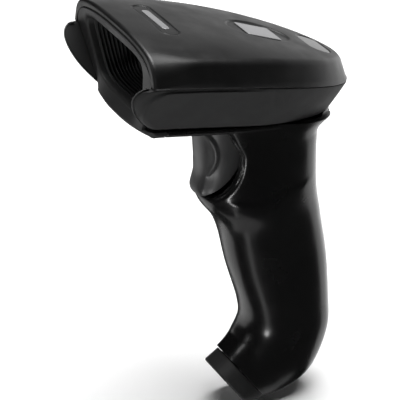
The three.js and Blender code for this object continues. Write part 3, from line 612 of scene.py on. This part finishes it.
def lower_head(name, inset, floor, ceiling, reach=None, steps=60):
    """The space between the bumper's foot and the parting line, inside an inset of it."""
    shares = row_shares(steps)

    def row(level, lift, narrow=1.0):
        x, y = ring_xy(level, shares, inset, reach)
        return np.stack([x * narrow, y, level_z(level, y, inset, lift)], -1)

    rows = [row(mix_levels(SEAM, FOOT, share), lerp(min(ceiling, 0), max(floor, 0), share))
            for share in np.linspace(1, 0, 8)]
    if floor < 0:
        rows.insert(0, row(FOOT, floor))
    if ceiling > 0:
        rows.append(row(SEAM, ceiling))
    return head_solid(name, [row(FOOT, floor, 0.0)] + rows + [row(SEAM, ceiling, 0.0)])


def spread_ring(share, grow):
    """A ring round the light path that widens as it goes back."""
    return path_ring(share, grow + LIP_SPREAD * share)


def lip_groove():
    """The thin line round the foot of the nose where bezel and lip meet."""
    outer = loft_solid("groove", [spread_ring(v, BEZEL_LIP - GROOVE["inset"]) for v in LIP_SHARES])
    inner = [spread_ring(v, BEZEL_LIP - GROOVE["inset"] - GROOVE["width"]) for v in (-0.4, 0.6)]
    cut(outer, loft_solid("groove_inner", inner))
    keep(outer, nose_slab("groove_slab", -5, GROOVE["depth"]))
    z = SEAM_HEIGHT - GROOVE["below_seam"]
    return keep(outer, box_solid("groove_band", 80, 80, GROOVE["band"], 0, NOSE["y"], z))


def bow_lip(bezel):
    """Carries the foot of the nose forward in the middle, so that the lip is bowed in plan."""
    work = bmesh.new()
    work.from_mesh(bezel.data)
    for x in np.arange(-LIP_BOW["half_width"] + 1, LIP_BOW["half_width"], LIP_BOW["cut_step"]):
        parts = work.verts[:] + work.edges[:] + work.faces[:]
        bmesh.ops.bisect_plane(work, geom=parts, dist=1e-5, plane_co=(x, 0, 0), plane_no=(1, 0, 0))
    for vert in work.verts:
        x, y, z = vert.co
        behind = y - NOSE["y"] + (z - NOSE["z"]) * math.tan(NOSE["rake"])
        across = 1 - min(abs(x) / LIP_BOW["half_width"], 1) ** LIP_BOW["power"]
        below = smooth((LIP_BOW["top"] - z) / LIP_BOW["fall"])
        vert.co.y -= LIP_BOW["reach"] * across * below * (1 - smooth(behind / LIP_BOW["depth"]))
    work.to_mesh(bezel.data)
    work.free()
    return bezel


def nose_bezel():
    """The frame round the opening, with a lip with round corners at its foot."""
    lip = loft_solid("bezel_around", [spread_ring(v, BEZEL_LIP) for v in LIP_SHARES])
    keep(lip, housing_rim())
    body = lower_head("bezel_body", BUMPER_THICKNESS + 2 * GAP, floor=-GAP - 0.5, ceiling=1, reach=FAR_FRONT)
    join(body, upper_head("bezel_top", WALL + GAP, floor=GAP / 2, reach=FAR_FRONT))
    join(body, lip)
    keep(body, nose_slab("bezel_slab", 0, BEZEL_DEPTH))
    cut(body, light_path())
    return bow_lip(cut(body, lip_groove()))


# ---- Handle housing ----

STATION_STEPS = 24
NECK_RIDGE = dict(z=97.0, fall=0.18, depth=0.9, width=1.8, length=22.0, y=8.0, half_length=14.0,
                  front=-3.0, front_fade=6.0, rear=34.0, rear_fade=14.0)
SCOOP = dict(soft=1.6, rear=18.0, narrow=0.035, relief=1.2, relief_z=113.0, relief_height=6.0)
SOUND_SLOTS = dict(xs=(-7, -4, 4, 7), y=38.6, z=117.4, width=0.9, length=12, height=1.6, tilt=38)
ROOF_BAND = 8.0


def smooth_stations(stations, steps):
    """Catmull-Rom curve through the stations, value by value."""
    first = 2 * stations[:1] - stations[1:2]
    last = 2 * stations[-1:] - stations[-2:-1]
    knots = np.concatenate([first, stations, last])
    result = []
    for i in range(len(stations) - 1):
        a, b, c, d = knots[i:i + 4]
        for t in np.arange(steps) / steps:
            slope = (c - a) * t + (2 * a - 5 * b + 4 * c - d) * t ** 2 + (3 * b - a - 3 * c + d) * t ** 3
            result.append(b + slope / 2)
    return np.array(result + [stations[-1]])


def section_ring(station, inset=0.0, points=160):
    y, z, tilt, depth, width, square = station
    angle = 2 * math.pi * np.arange(points) / points
    along = (depth - inset) * np.sign(np.cos(angle)) * np.abs(np.cos(angle)) ** (2 / square)
    across = (width - inset) * np.sign(np.sin(angle)) * np.abs(np.sin(angle)) ** (2 / square)
    turn = math.radians(tilt)
    return np.stack([across, y + along * math.cos(turn), z - along * math.sin(turn)], -1)


def grip_rings(inset, reach, steps, points):
    stations = smooth_stations(GRIP_STATIONS, steps)
    rings = [section_ring(station, inset, points) for station in stations]
    if reach:
        top, end = stations[0].copy(), stations[-1].copy()
        top[1] += reach
        turn = math.radians(end[2])
        end[0] -= reach * math.sin(turn)
        end[1] -= reach * math.cos(turn)
        rings = [section_ring(top, inset, points)] + rings + [section_ring(end, inset, points)]
    return np.array(rings)


def scoop(points):
    """Presses the front of the grip back to the round cut-out for the trigger, with a soft edge."""
    x, y, z = points[..., 0], points[..., 1], points[..., 2]
    reach = TRIGGER_CUT["radius"] ** 2 - (z - TRIGGER_CUT["z"]) ** 2
    wall_y = TRIGGER_CUT["y"] + np.sqrt(np.maximum(reach, 0))
    relief = SCOOP["relief"] * smooth((z - SCOOP["relief_z"]) / SCOOP["relief_height"])
    wall_y = np.where(reach > 0, wall_y, FAR_FRONT) - relief
    soft = SCOOP["soft"]
    blend = np.clip(soft - np.abs(y - wall_y), 0, soft)
    pressed = np.maximum(y, wall_y) + blend ** 2 / (4 * soft)
    front = y < SCOOP["rear"]
    narrowed = x * (1 - SCOOP["narrow"] * (blend / soft) ** 2)
    return np.stack([np.where(front, narrowed, x), np.where(front, pressed, y), z], -1)


def grip_details(rings):
    """A soft ledge runs back from the chin below the trigger and fades towards the rear."""
    normals = grid_normals(rings)
    y, z = rings[..., 1], rings[..., 2]
    ridge = NECK_RIDGE
    ledge_z = ridge["z"] - ridge["fall"] * (ridge["half_length"] - np.abs(y - ridge["y"]))
    below = smooth((ledge_z - z) / ridge["width"] + 0.5)
    fade = smooth(1 - (ledge_z - z) / ridge["length"])
    fade = fade * smooth((ridge["rear"] - y) / ridge["rear_fade"])
    fade = fade * smooth((y - ridge["front"]) / ridge["front_fade"])
    depth = ridge["depth"] * below * fade
    return rings + normals * depth[..., None]


def housing_rim():
    """The thin rounded edge of the housing that shows all round below the bumper."""
    shares = row_shares(160)
    profile = [(3.0, 1.6), (3.0, 1.2), (1.6, 0.55), (0.7, 0.12), (0.25, -0.15), (0.05, -0.45),
               (0.0, -0.8), (0.0, -1.45), (0.08, -1.65), (0.3, -RIM_BAND)]

    def row(inset, drop, narrow=1.0):
        x, y = ring_xy(FOOT, shares, inset, None)
        front = FOOT["front"] + inset * 0.8
        y = np.maximum(y, front)
        return np.stack([x * narrow, y, level_z(FOOT, y, inset, -GAP - RIM_BAND - drop)], -1)

    rows = [row(*profile[0], narrow=0.0)] + [row(inset, drop) for inset, drop in profile]
    return head_solid("housing_rim", rows + [row(*profile[-1], narrow=0.0)])


def even_ring(ring):
    """The same closed outline with its points spread evenly."""
    closed = np.concatenate([ring, ring[:1]])
    walked = np.concatenate([[0], np.cumsum(np.linalg.norm(np.diff(closed, axis=0), axis=1))])
    marks = walked[-1] * np.arange(len(ring)) / len(ring)
    return np.stack([np.interp(marks, walked, closed[:, axis]) for axis in range(3)], -1)


def trigger_ring(station, inset=0.0, points=120):
    z, front, width = station
    depth = TRIGGER_CENTRE_Y - front - inset
    angle = 2 * math.pi * np.arange(points) / points
    across = (width - inset) * np.sign(np.sin(angle)) * np.abs(np.sin(angle)) ** (2 / TRIGGER_SQUARE)
    along = depth * np.sign(np.cos(angle)) * np.abs(np.cos(angle)) ** (2 / TRIGGER_SQUARE)
    return np.stack([across, TRIGGER_CENTRE_Y + along, np.full(points, z)], -1)


def rod_solid(name, radius, length, axis, x=0.0, y=0.0, z=0.0, sides=96):
    work = bmesh.new()
    bmesh.ops.create_cone(work, cap_ends=True, segments=sides, radius1=radius, radius2=radius, depth=length)
    turn = {"x": Matrix.Rotation(math.pi / 2, 4, "Y"), "y": Matrix.Rotation(math.pi / 2, 4, "X"),
            "z": Matrix.Identity(4)}[axis]
    bmesh.ops.transform(work, matrix=Matrix.Translation((x, y, z)) @ turn, verts=work.verts)
    return object_from(work, name)


def trigger_form(name, grow):
    """The trigger's outer form, grown all round."""
    rings = [trigger_ring(station, -grow) for station in smooth_stations(TRIGGER_STATIONS, 4)]
    back = TRIGGER_BACK
    disc = rod_solid("form_disc", back["radius"] + grow, ACROSS, "x", 0, back["y"], back["z"])
    return keep(loft_solid(name, rings), disc)


def pulled(obj, degrees):
    """Turns a piece about the trigger's pin, as a finger pulls it."""
    pin = Vector((0, TRIGGER_PIVOT["y"], TRIGGER_PIVOT["z"]))
    turn = Matrix.Rotation(math.radians(degrees), 4, "X")
    return move(obj, Matrix.Translation(pin) @ turn @ Matrix.Translation(-pin))


def trigger_roof():
    """What closes the housing above the trigger, between the cut-out and the inside."""
    y = TRIGGER_CUT["y"]
    z = TRIGGER_PIVOT["z"] + TRIGGER_ROOF + ROOF_BAND / 2
    disc = rod_solid("roof", TRIGGER_CUT["radius"] + WALL, ACROSS, "x", 0, y, TRIGGER_CUT["z"])
    return keep(disc, box_solid("roof_band", ACROSS + 10, ACROSS, ROOF_BAND, 0, y, z))


def handle_housing():
    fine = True
    rings = grip_rings(0, 0, STATION_STEPS if fine else 16, 240 if fine else 140)
    housing = loft_solid("housing_shell", scoop(grip_details(rings)))
    cut(housing, lower_head("neck_top", 0.3, floor=-GAP - 1, ceiling=12, reach=FAR_FRONT))
    join(housing, housing_rim())
    pan_inset = BUMPER_THICKNESS + GAP
    join(housing, lower_head("pan", pan_inset, floor=-1, ceiling=-GAP / 2, reach=SEAM["front"]))
    cut(housing, lower_head("pan_inside", pan_inset + WALL, floor=0.6, ceiling=8, reach=FAR_FRONT))
    cut(housing, nose_slab("nose_room", FAR_FRONT, BEZEL_DEPTH + GAP))
    inside = loft_solid("grip_inside", grip_rings(WALL, reach=3, steps=4, points=60))
    cut(housing, cut(inside, trigger_roof()))
    for degrees in (0, TRIGGER_TRAVEL / 2, TRIGGER_TRAVEL):
        cut(housing, pulled(trigger_form("trigger_room", TRIGGER_ROOM), degrees))
    for x in SOUND_SLOTS["xs"]:
        slot = box_solid("sound_slot", SOUND_SLOTS["width"], SOUND_SLOTS["length"], SOUND_SLOTS["height"])
        place = Matrix.Translation((x, SOUND_SLOTS["y"], SOUND_SLOTS["z"]))
        cut(housing, move(slot, place @ Matrix.Rotation(math.radians(SOUND_SLOTS["tilt"]), 4, "X")))
    return housing


# ---- Trigger ----

PAD = dict(y=-15.5, z=112.0, radius=12.3, step=0.8, edge=0.9, rim=0.3, rim_width=0.7,
           side_start=4.0, side_blend=3.0)
TRIGGER_EDGE = 1.2


def trigger_body():
    """A finger pad in front of two cheeks that lie a little deeper."""
    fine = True
    stations = smooth_stations(TRIGGER_STATIONS, 24 if fine else 12)
    low = stations[-1, 0]
    insets = edge_round(stations[:, 0] - low, TRIGGER_EDGE)
    count = 480 if fine else 280
    rings = np.array([even_ring(trigger_ring(*pair, count)) for pair in zip(stations, insets)])
    normals = grid_normals(rings)
    normals[..., 2] = 0
    beyond = np.hypot(rings[..., 1] - PAD["y"], rings[..., 2] - PAD["z"]) - PAD["radius"]
    side = smooth((np.abs(rings[..., 0]) - PAD["side_start"]) / PAD["side_blend"])
    rim = PAD["rim"] * np.exp(-((beyond + PAD["rim_width"]) / PAD["rim_width"]) ** 2)
    depth = (PAD["step"] * smooth(beyond / PAD["edge"] + 0.5) - rim) * side
    body = loft_solid("trigger_pad", rings - normals * depth[..., None])
    back = TRIGGER_BACK
    keep(body, rod_solid("trigger_disc", back["radius"], ACROSS, "x", 0, back["y"], back["z"], sides=256))
    pivot = TRIGGER_PIVOT
    return cut(body, rod_solid("trigger_bore", pivot["bore"], ACROSS, "x", 0, pivot["y"], pivot["z"]))


# ---- Cable end ----

CABLE_END = dict(y=4.3, z=12.7, tilt=55.0, length=7.0)
COLLAR = dict(depth=10.3, width=9.8, square=2.8, spigot=8.0, spigot_inset=2.2, heel=3.4)
SOCKET = dict(width=13.6, height=11.0)


def collar_frame():
    turn = Matrix.Rotation(-math.radians(CABLE_END["tilt"]), 4, "X")
    return Matrix.Translation((0, CABLE_END["y"], CABLE_END["z"])) @ turn


def socket_collar():
    length = CABLE_END["length"]

    def ring(inset, z):
        heel = COLLAR["heel"] * math.sin(math.pi / 2 * min(z / length, 1)) / 2
        station = (heel, z, 0, COLLAR["depth"] + heel, COLLAR["width"], COLLAR["square"])
        return section_ring(station, inset, 120)

    # Inset of the outline, and height over the collar's end.
    profile = [(0.8, 0.0), (0.4, 0.1), (0.12, 0.35), (0.0, 0.75)]
    profile += [(0.0, z) for z in np.linspace(1.2, length - GAP - 0.25, 9)] + [(0.2, length - GAP)]
    body = loft_solid("collar_body", [ring(inset, z) for inset, z in profile])
    spigot = [ring(COLLAR["spigot_inset"], z) for z in (length - 1, length + COLLAR["spigot"])]
    join(body, loft_solid("collar_spigot", spigot))
    hole = box_solid("collar_hole", SOCKET["width"] + 2 * GAP, SOCKET["height"] + 2 * GAP, ACROSS)
    return bevel(move(cut(body, hole), collar_frame()), width=0.2, angle=60)


# ---- Materials ----


class Look:
    """A procedural material: one Principled shader and the nodes that feed it."""

    def __init__(self, name):
        self.material = bpy.data.materials.new(name)
        self.material.use_nodes = True
        self.tree = self.material.node_tree
        self.shader = self.tree.nodes["Principled BSDF"]
        self.place = self.tree.nodes.new("ShaderNodeTexCoord").outputs["Object"]

    def set(self, **values):
        for key, value in values.items():
            self.shader.inputs[key.replace("_", " ")].default_value = value
        return self

    def node(self, kind, links=(), **values):
        node = self.tree.nodes.new(kind)
        for key, value in values.items():
            setattr(node, key, value)
        for socket, source in dict(links).items():
            if hasattr(source, "is_output"):
                self.tree.links.new(source, node.inputs[socket])
            else:
                node.inputs[socket].default_value = source
        return node

    def noise(self, size_mm, detail=3.0, stretch=None):
        """Noise with features of about a given size, stretched along the axes if asked."""
        place = self.place
        if stretch:
            place = self.node("ShaderNodeMapping", {"Vector": place, "Scale": stretch}).outputs[0]
        links = {"Vector": place, "Scale": 1 / (size_mm * MM), "Detail": detail}
        return self.node("ShaderNodeTexNoise", links).outputs[0]

    def spread(self, source, low, high, start=0.3, end=0.7):
        links = {"Value": source, "From Min": start, "From Max": end, "To Min": low, "To Max": high}
        return self.node("ShaderNodeMapRange", links).outputs[0]

    def tint(self, source, low, high):
        """A colour between two, by a factor from 0 to 1."""
        ramp = self.node("ShaderNodeValToRGB", {"Fac": source})
        ramp.color_ramp.elements[0].position = 0.25
        ramp.color_ramp.elements[1].position = 0.75
        ramp.color_ramp.elements[0].color = (*low, 1)
        ramp.color_ramp.elements[1].color = (*high, 1)
        return ramp.outputs[0]

    def edges(self, radius_mm):
        """A softened normal, and a mask that is 1 on worn edges."""
        links = {"Radius": radius_mm * MM}
        soft = self.node("ShaderNodeBevel", links, samples=4).outputs[0]
        flat = self.node("ShaderNodeNewGeometry").outputs["Normal"]
        dot = self.node("ShaderNodeVectorMath", {0: soft, 1: flat}, operation="DOT_PRODUCT")
        return soft, self.spread(dot.outputs["Value"], low=1.0, high=0.0, start=0.90, end=0.995)

    def blend(self, factor, a, b):
        mix = self.node("ShaderNodeMix", data_type="RGBA")
        for socket, source in ((0, factor), (6, a), (7, b)):
            if hasattr(source, "is_output"):
                self.tree.links.new(source, mix.inputs[socket])
            else:
                mix.inputs[socket].default_value = (*source, 1)
        return mix.outputs[2]

    def bump(self, height, strength, distance_mm, normal=None):
        links = {"Height": height, "Strength": strength, "Distance": distance_mm * MM}
        if normal is not None:
            links["Normal"] = normal
        return self.node("ShaderNodeBump", links).outputs[0]

    def wire(self, **sources):
        for key, source in sources.items():
            self.tree.links.new(source, self.shader.inputs[key.replace("_", " ")])


def grey(value):
    return (value, value, value * 1.02)


def moulded(name, shade, worn, roughness, grain_mm, grain, edge_mm, swing=0.07):
    """Moulded plastic: mottled colour, uneven sheen, fine grain and rubbed edges."""
    look = Look(name)
    soft, edge = look.edges(edge_mm)
    patches = look.noise(22, 4)
    colour = look.tint(patches, grey(shade * 0.86), grey(shade * 1.14))
    rub = look.node("ShaderNodeMath", {0: edge, 1: look.spread(look.noise(6, 5), 0.15, 1.0)},
                    operation="MULTIPLY").outputs[0]
    colour = look.blend(rub, colour, grey(worn))
    sheen = look.spread(look.noise(9, 5), roughness - swing, roughness + swing)
    texture = look.noise(grain_mm, 2)
    look.wire(Base_Color=colour, Roughness=sheen, Normal=look.bump(texture, grain, 0.03, soft))
    return look


def satin_black():
    look = moulded("satin_black", shade=0.004, worn=0.05, roughness=0.4,
                   grain_mm=0.35, grain=0.28, edge_mm=0.35)
    return look.set(Specular_IOR_Level=0.5)


def gloss_black():
    look = moulded("gloss_black", shade=0.0045, worn=0.02, roughness=0.24,
                   grain_mm=1.6, grain=0.05, edge_mm=0.3, swing=0.04)
    return look.set(Specular_IOR_Level=0.45)


def rubber():
    look = moulded("charcoal_rubber", shade=0.013, worn=0.045, roughness=0.62,
                   grain_mm=0.28, grain=0.5, edge_mm=0.5)
    return look.set(Specular_IOR_Level=0.28, Sheen_Weight=0.06, Sheen_Roughness=0.5)


def matte_black():
    return moulded("matte_black", shade=0.014, worn=0.05, roughness=0.5,
                   grain_mm=0.3, grain=0.3, edge_mm=0.3)


def trigger_grey():
    return moulded("trigger_grey", shade=0.03, worn=0.09, roughness=0.4,
                   grain_mm=0.4, grain=0.2, edge_mm=0.4)


def badge_grey():
    look = Look("badge_grey")
    brushed = look.noise(0.5, 2, (0.04, 1, 1))
    soft, edge = look.edges(0.2)
    colour = look.tint(brushed, grey(0.24), grey(0.34))
    look.wire(Base_Color=look.blend(edge, colour, grey(0.4)), Roughness=look.spread(brushed, 0.28, 0.42),
              Normal=look.bump(brushed, 0.15, 0.02, soft))
    return look.set(Metallic=0.55)


def smoked_lens():
    look = Look("smoked_lens")
    soft, edge = look.edges(0.3)
    haze = look.noise(5, 4)
    look.wire(Base_Color=look.blend(edge, look.tint(haze, grey(0.01), grey(0.016)), grey(0.08)),
              Roughness=look.spread(haze, 0.08, 0.2), Normal=look.bump(look.noise(3, 2), 0.04, 0.05, soft))
    return look.set(Coat_Weight=0.4)


def window_red():
    look = Look("window_red")
    haze = look.noise(6, 4)
    look.wire(Base_Color=look.tint(haze, (0.05, 0.006, 0.006), (0.09, 0.01, 0.008)),
              Roughness=look.spread(haze, 0.05, 0.15), Normal=look.bump(look.noise(8, 1), 0.03, 0.05))
    return look.set(Transmission_Weight=0.55, IOR=1.49)


def clear_lens():
    look = Look("clear_lens")
    haze = look.noise(2, 4)
    look.wire(Base_Color=look.tint(haze, (0.7, 0.74, 0.76), (0.85, 0.88, 0.9)),
              Roughness=look.spread(haze, 0.02, 0.1), Normal=look.bump(haze, 0.03, 0.02))
    return look.set(Transmission_Weight=0.85, IOR=1.52)


def board_green():
    look = Look("board_green")
    tracks = look.node("ShaderNodeTexBrick", {"Vector": look.place, "Scale": 260.0}).outputs["Fac"]
    patches = look.noise(3, 4)
    board = look.tint(patches, (0.004, 0.045, 0.014), (0.006, 0.07, 0.022))
    colour = look.blend(tracks, board, (0.02, 0.12, 0.045))
    look.wire(Base_Color=colour, Roughness=look.spread(patches, 0.28, 0.45),
              Normal=look.bump(tracks, 0.3, 0.04))
    return look


def chip_black():
    return moulded("chip_black", shade=0.02, worn=0.06, roughness=0.38,
                   grain_mm=0.2, grain=0.35, edge_mm=0.15)


def led_yellow():
    look = Look("led_yellow")
    glow = look.noise(1.2, 2)
    look.wire(Base_Color=look.tint(glow, (0.6, 0.42, 0.06), (0.8, 0.62, 0.16)),
              Roughness=look.spread(glow, 0.2, 0.4), Normal=look.bump(glow, 0.1, 0.03))
    return look.set(Subsurface_Weight=0.1)


def steel():
    look = Look("steel")
    turned = look.noise(0.4, 3, (1, 1, 6))
    soft, edge = look.edges(0.15)
    colour = look.blend(edge, look.tint(look.noise(4, 3), (0.45, 0.45, 0.46), (0.6, 0.6, 0.61)),
                        (0.75, 0.75, 0.76))
    look.wire(Base_Color=colour, Roughness=look.spread(turned, 0.22, 0.4),
              Normal=look.bump(turned, 0.12, 0.02, soft))
    return look.set(Metallic=1.0)


def flex_amber():
    look = Look("flex_amber")
    tracks = look.noise(0.5, 1, (1, 0.03, 0.03))
    look.wire(Base_Color=look.tint(tracks, (0.22, 0.09, 0.015), (0.42, 0.2, 0.05)),
              Roughness=look.spread(tracks, 0.25, 0.4), Normal=look.bump(tracks, 0.2, 0.05))
    return look


LOOKS = {
    "satin_black": satin_black, "gloss_black": gloss_black, "charcoal_rubber": rubber,
    "matte_black": matte_black, "trigger_grey": trigger_grey, "badge_grey": badge_grey,
    "smoked_lens": smoked_lens, "window_red": window_red, "clear_lens": clear_lens,
    "board_green": board_green, "chip_black": chip_black, "led_yellow": led_yellow,
    "steel": steel, "flex_amber": flex_amber,
}
looks = {slot: make().material for slot, make in LOOKS.items()}


# ---- Pieces ----

SHARP_ANGLE = math.radians(35)


def dress_nodes():
    """Gives every CAD node the material of its slot in the record."""
    for part in frame["record"]["subparts"]:
        mesh = frame["nodes"][part["node"]].data
        mesh.materials.clear()
        mesh.materials.append(looks[part["material_slot"]])


def add_piece(obj, slot, body, *nodes):
    """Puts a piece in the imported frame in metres, with its material, body and the nodes it stands for."""
    obj.name = (nodes[0] if nodes else obj.name) + "_shape"
    obj.data.transform(Matrix.Scale(MM, 4) @ Matrix.Translation(SHIFT))
    obj.data.materials.clear()
    obj.data.materials.append(looks[slot])
    obj.data.polygons.foreach_set("use_smooth", [True] * len(obj.data.polygons))
    obj.data.set_sharp_from_angle(angle=SHARP_ANGLE)
    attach(obj, body)
    if nodes:
        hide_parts(*nodes)


dress_nodes()
add_piece(top_cover(), "satin_black", "scanner", "top_cover")
add_piece(conformal_plate("nameplate", **NAMEPLATE), "satin_black", "scanner", "front_nameplate")
add_piece(conformal_plate("nameplate_inlay", **INLAY), "badge_grey", "scanner")
add_piece(conformal_plate("badge", **BADGE), "badge_grey", "scanner", "rear_badge")
add_piece(conformal_plate("lens", **LENS), "smoked_lens", "scanner", "status_lens")
add_piece(side_bumper(), "charcoal_rubber", "scanner", "side_bumper")
add_piece(nose_bezel(), "matte_black", "scanner", "nose_bezel")
add_piece(light_baffle(), "matte_black", "scanner", "light_baffle")
add_piece(handle_housing(), "gloss_black", "scanner", "handle_housing")
add_piece(trigger_body(), "trigger_grey", "trigger", "trigger")
add_piece(socket_collar(), "matte_black", "scanner", "socket_collar")

# ---- Stage, lights and camera ----

LOOK_AT = Vector((0, -0.008945, 0.0878))
CAMERA = dict(azimuth=63, elevation=29, distance=0.7, lens=180.2, clip_start=0.05)
FLOOR = dict(width=6, depth=6, height=0.02, z=-0.0101)
BACKDROP = dict(azimuth=226, elevation=-10, start=0.75, dim=0.003, bright=0.75)
# Name, azimuth, elevation, distance, width, height and power. The low ones shine up through the floor,
# which throws no shadow.
LIGHTS = (
    ("overhead", 190, 84, 1.2, 1.0, 1.0, 33),
    ("front_box", 305, -32, 1.0, 0.8, 0.9, 2.2),
    ("front_strip", 357, 27, 0.9, 0.12, 0.5, 1.0),
    ("side_spot", 42, -26, 0.9, 0.12, 0.16, 1.6),
    ("side_strip", 38, -50, 0.9, 0.14, 0.5, 0.25),
    ("floor_glow", 100, -85, 0.8, 0.7, 0.7, 0.7),
    ("rear_box", 197, -18, 1.0, 0.9, 1.2, 3.4),
)


def direction(azimuth, elevation):
    """Unit vector from the object towards a viewer at an azimuth and elevation, in degrees."""
    a, e = math.radians(azimuth), math.radians(elevation)
    return Vector((math.sin(a) * math.cos(e), -math.cos(a) * math.cos(e), math.sin(e)))


def aim(obj, place, target):
    obj.location = place
    obj.rotation_euler = (target - place).to_track_quat("-Z", "Y").to_euler()
    bpy.context.scene.collection.objects.link(obj)
    return obj


def soft_light(name, azimuth, elevation, distance, width, height, power):
    data = bpy.data.lights.new(name, "AREA")
    data.shape = "RECTANGLE"
    data.size = width
    data.size_y = height
    data.energy = power
    aim(bpy.data.objects.new(name, data), LOOK_AT + direction(azimuth, elevation) * distance, LOOK_AT)


def stage_floor():
    floor = box_solid("floor", **FLOOR)
    look = Look("stage_floor")
    tone = look.noise(300, 2)
    look.wire(Base_Color=look.tint(tone, (0.84, 0.84, 0.84), (0.87, 0.87, 0.87)),
              Roughness=look.spread(tone, 0.7, 0.8), Normal=look.bump(look.noise(2, 2), 0.02, 0.1))
    floor.data.materials.append(look.material)
    floor.visible_glossy = False
    floor.visible_shadow = False


def world():
    """A bright backdrop behind the object that fades to a dim room."""
    scene_world = bpy.data.worlds.new("studio")
    bpy.context.scene.world = scene_world
    scene_world.use_nodes = True
    tree = scene_world.node_tree
    place = tree.nodes.new("ShaderNodeTexCoord").outputs["Generated"]
    dot = tree.nodes.new("ShaderNodeVectorMath")
    dot.operation = "DOT_PRODUCT"
    dot.inputs[1].default_value = direction(BACKDROP["azimuth"], BACKDROP["elevation"])
    tree.links.new(place, dot.inputs[0])
    level = tree.nodes.new("ShaderNodeMapRange")
    level.interpolation_type = "SMOOTHSTEP"
    level.inputs["From Min"].default_value = BACKDROP["start"]
    level.inputs["From Max"].default_value = 1.0
    level.inputs["To Min"].default_value = BACKDROP["dim"]
    level.inputs["To Max"].default_value = BACKDROP["bright"]
    tree.links.new(dot.outputs["Value"], level.inputs["Value"])
    backdrop = tree.nodes["Background"]
    backdrop.inputs["Color"].default_value = (1, 1, 1, 1)
    tree.links.new(level.outputs[0], backdrop.inputs["Strength"])


def camera():
    data = bpy.data.cameras.new("camera")
    data.lens = CAMERA["lens"]
    data.clip_start = CAMERA["clip_start"]
    eye = LOOK_AT + direction(CAMERA["azimuth"], CAMERA["elevation"]) * CAMERA["distance"]
    bpy.context.scene.camera = aim(bpy.data.objects.new("camera", data), eye, LOOK_AT)


stage_floor()
world()
camera()
for light in LIGHTS:
    soft_light(*light)
bpy.context.scene.view_settings.view_transform = "Standard"
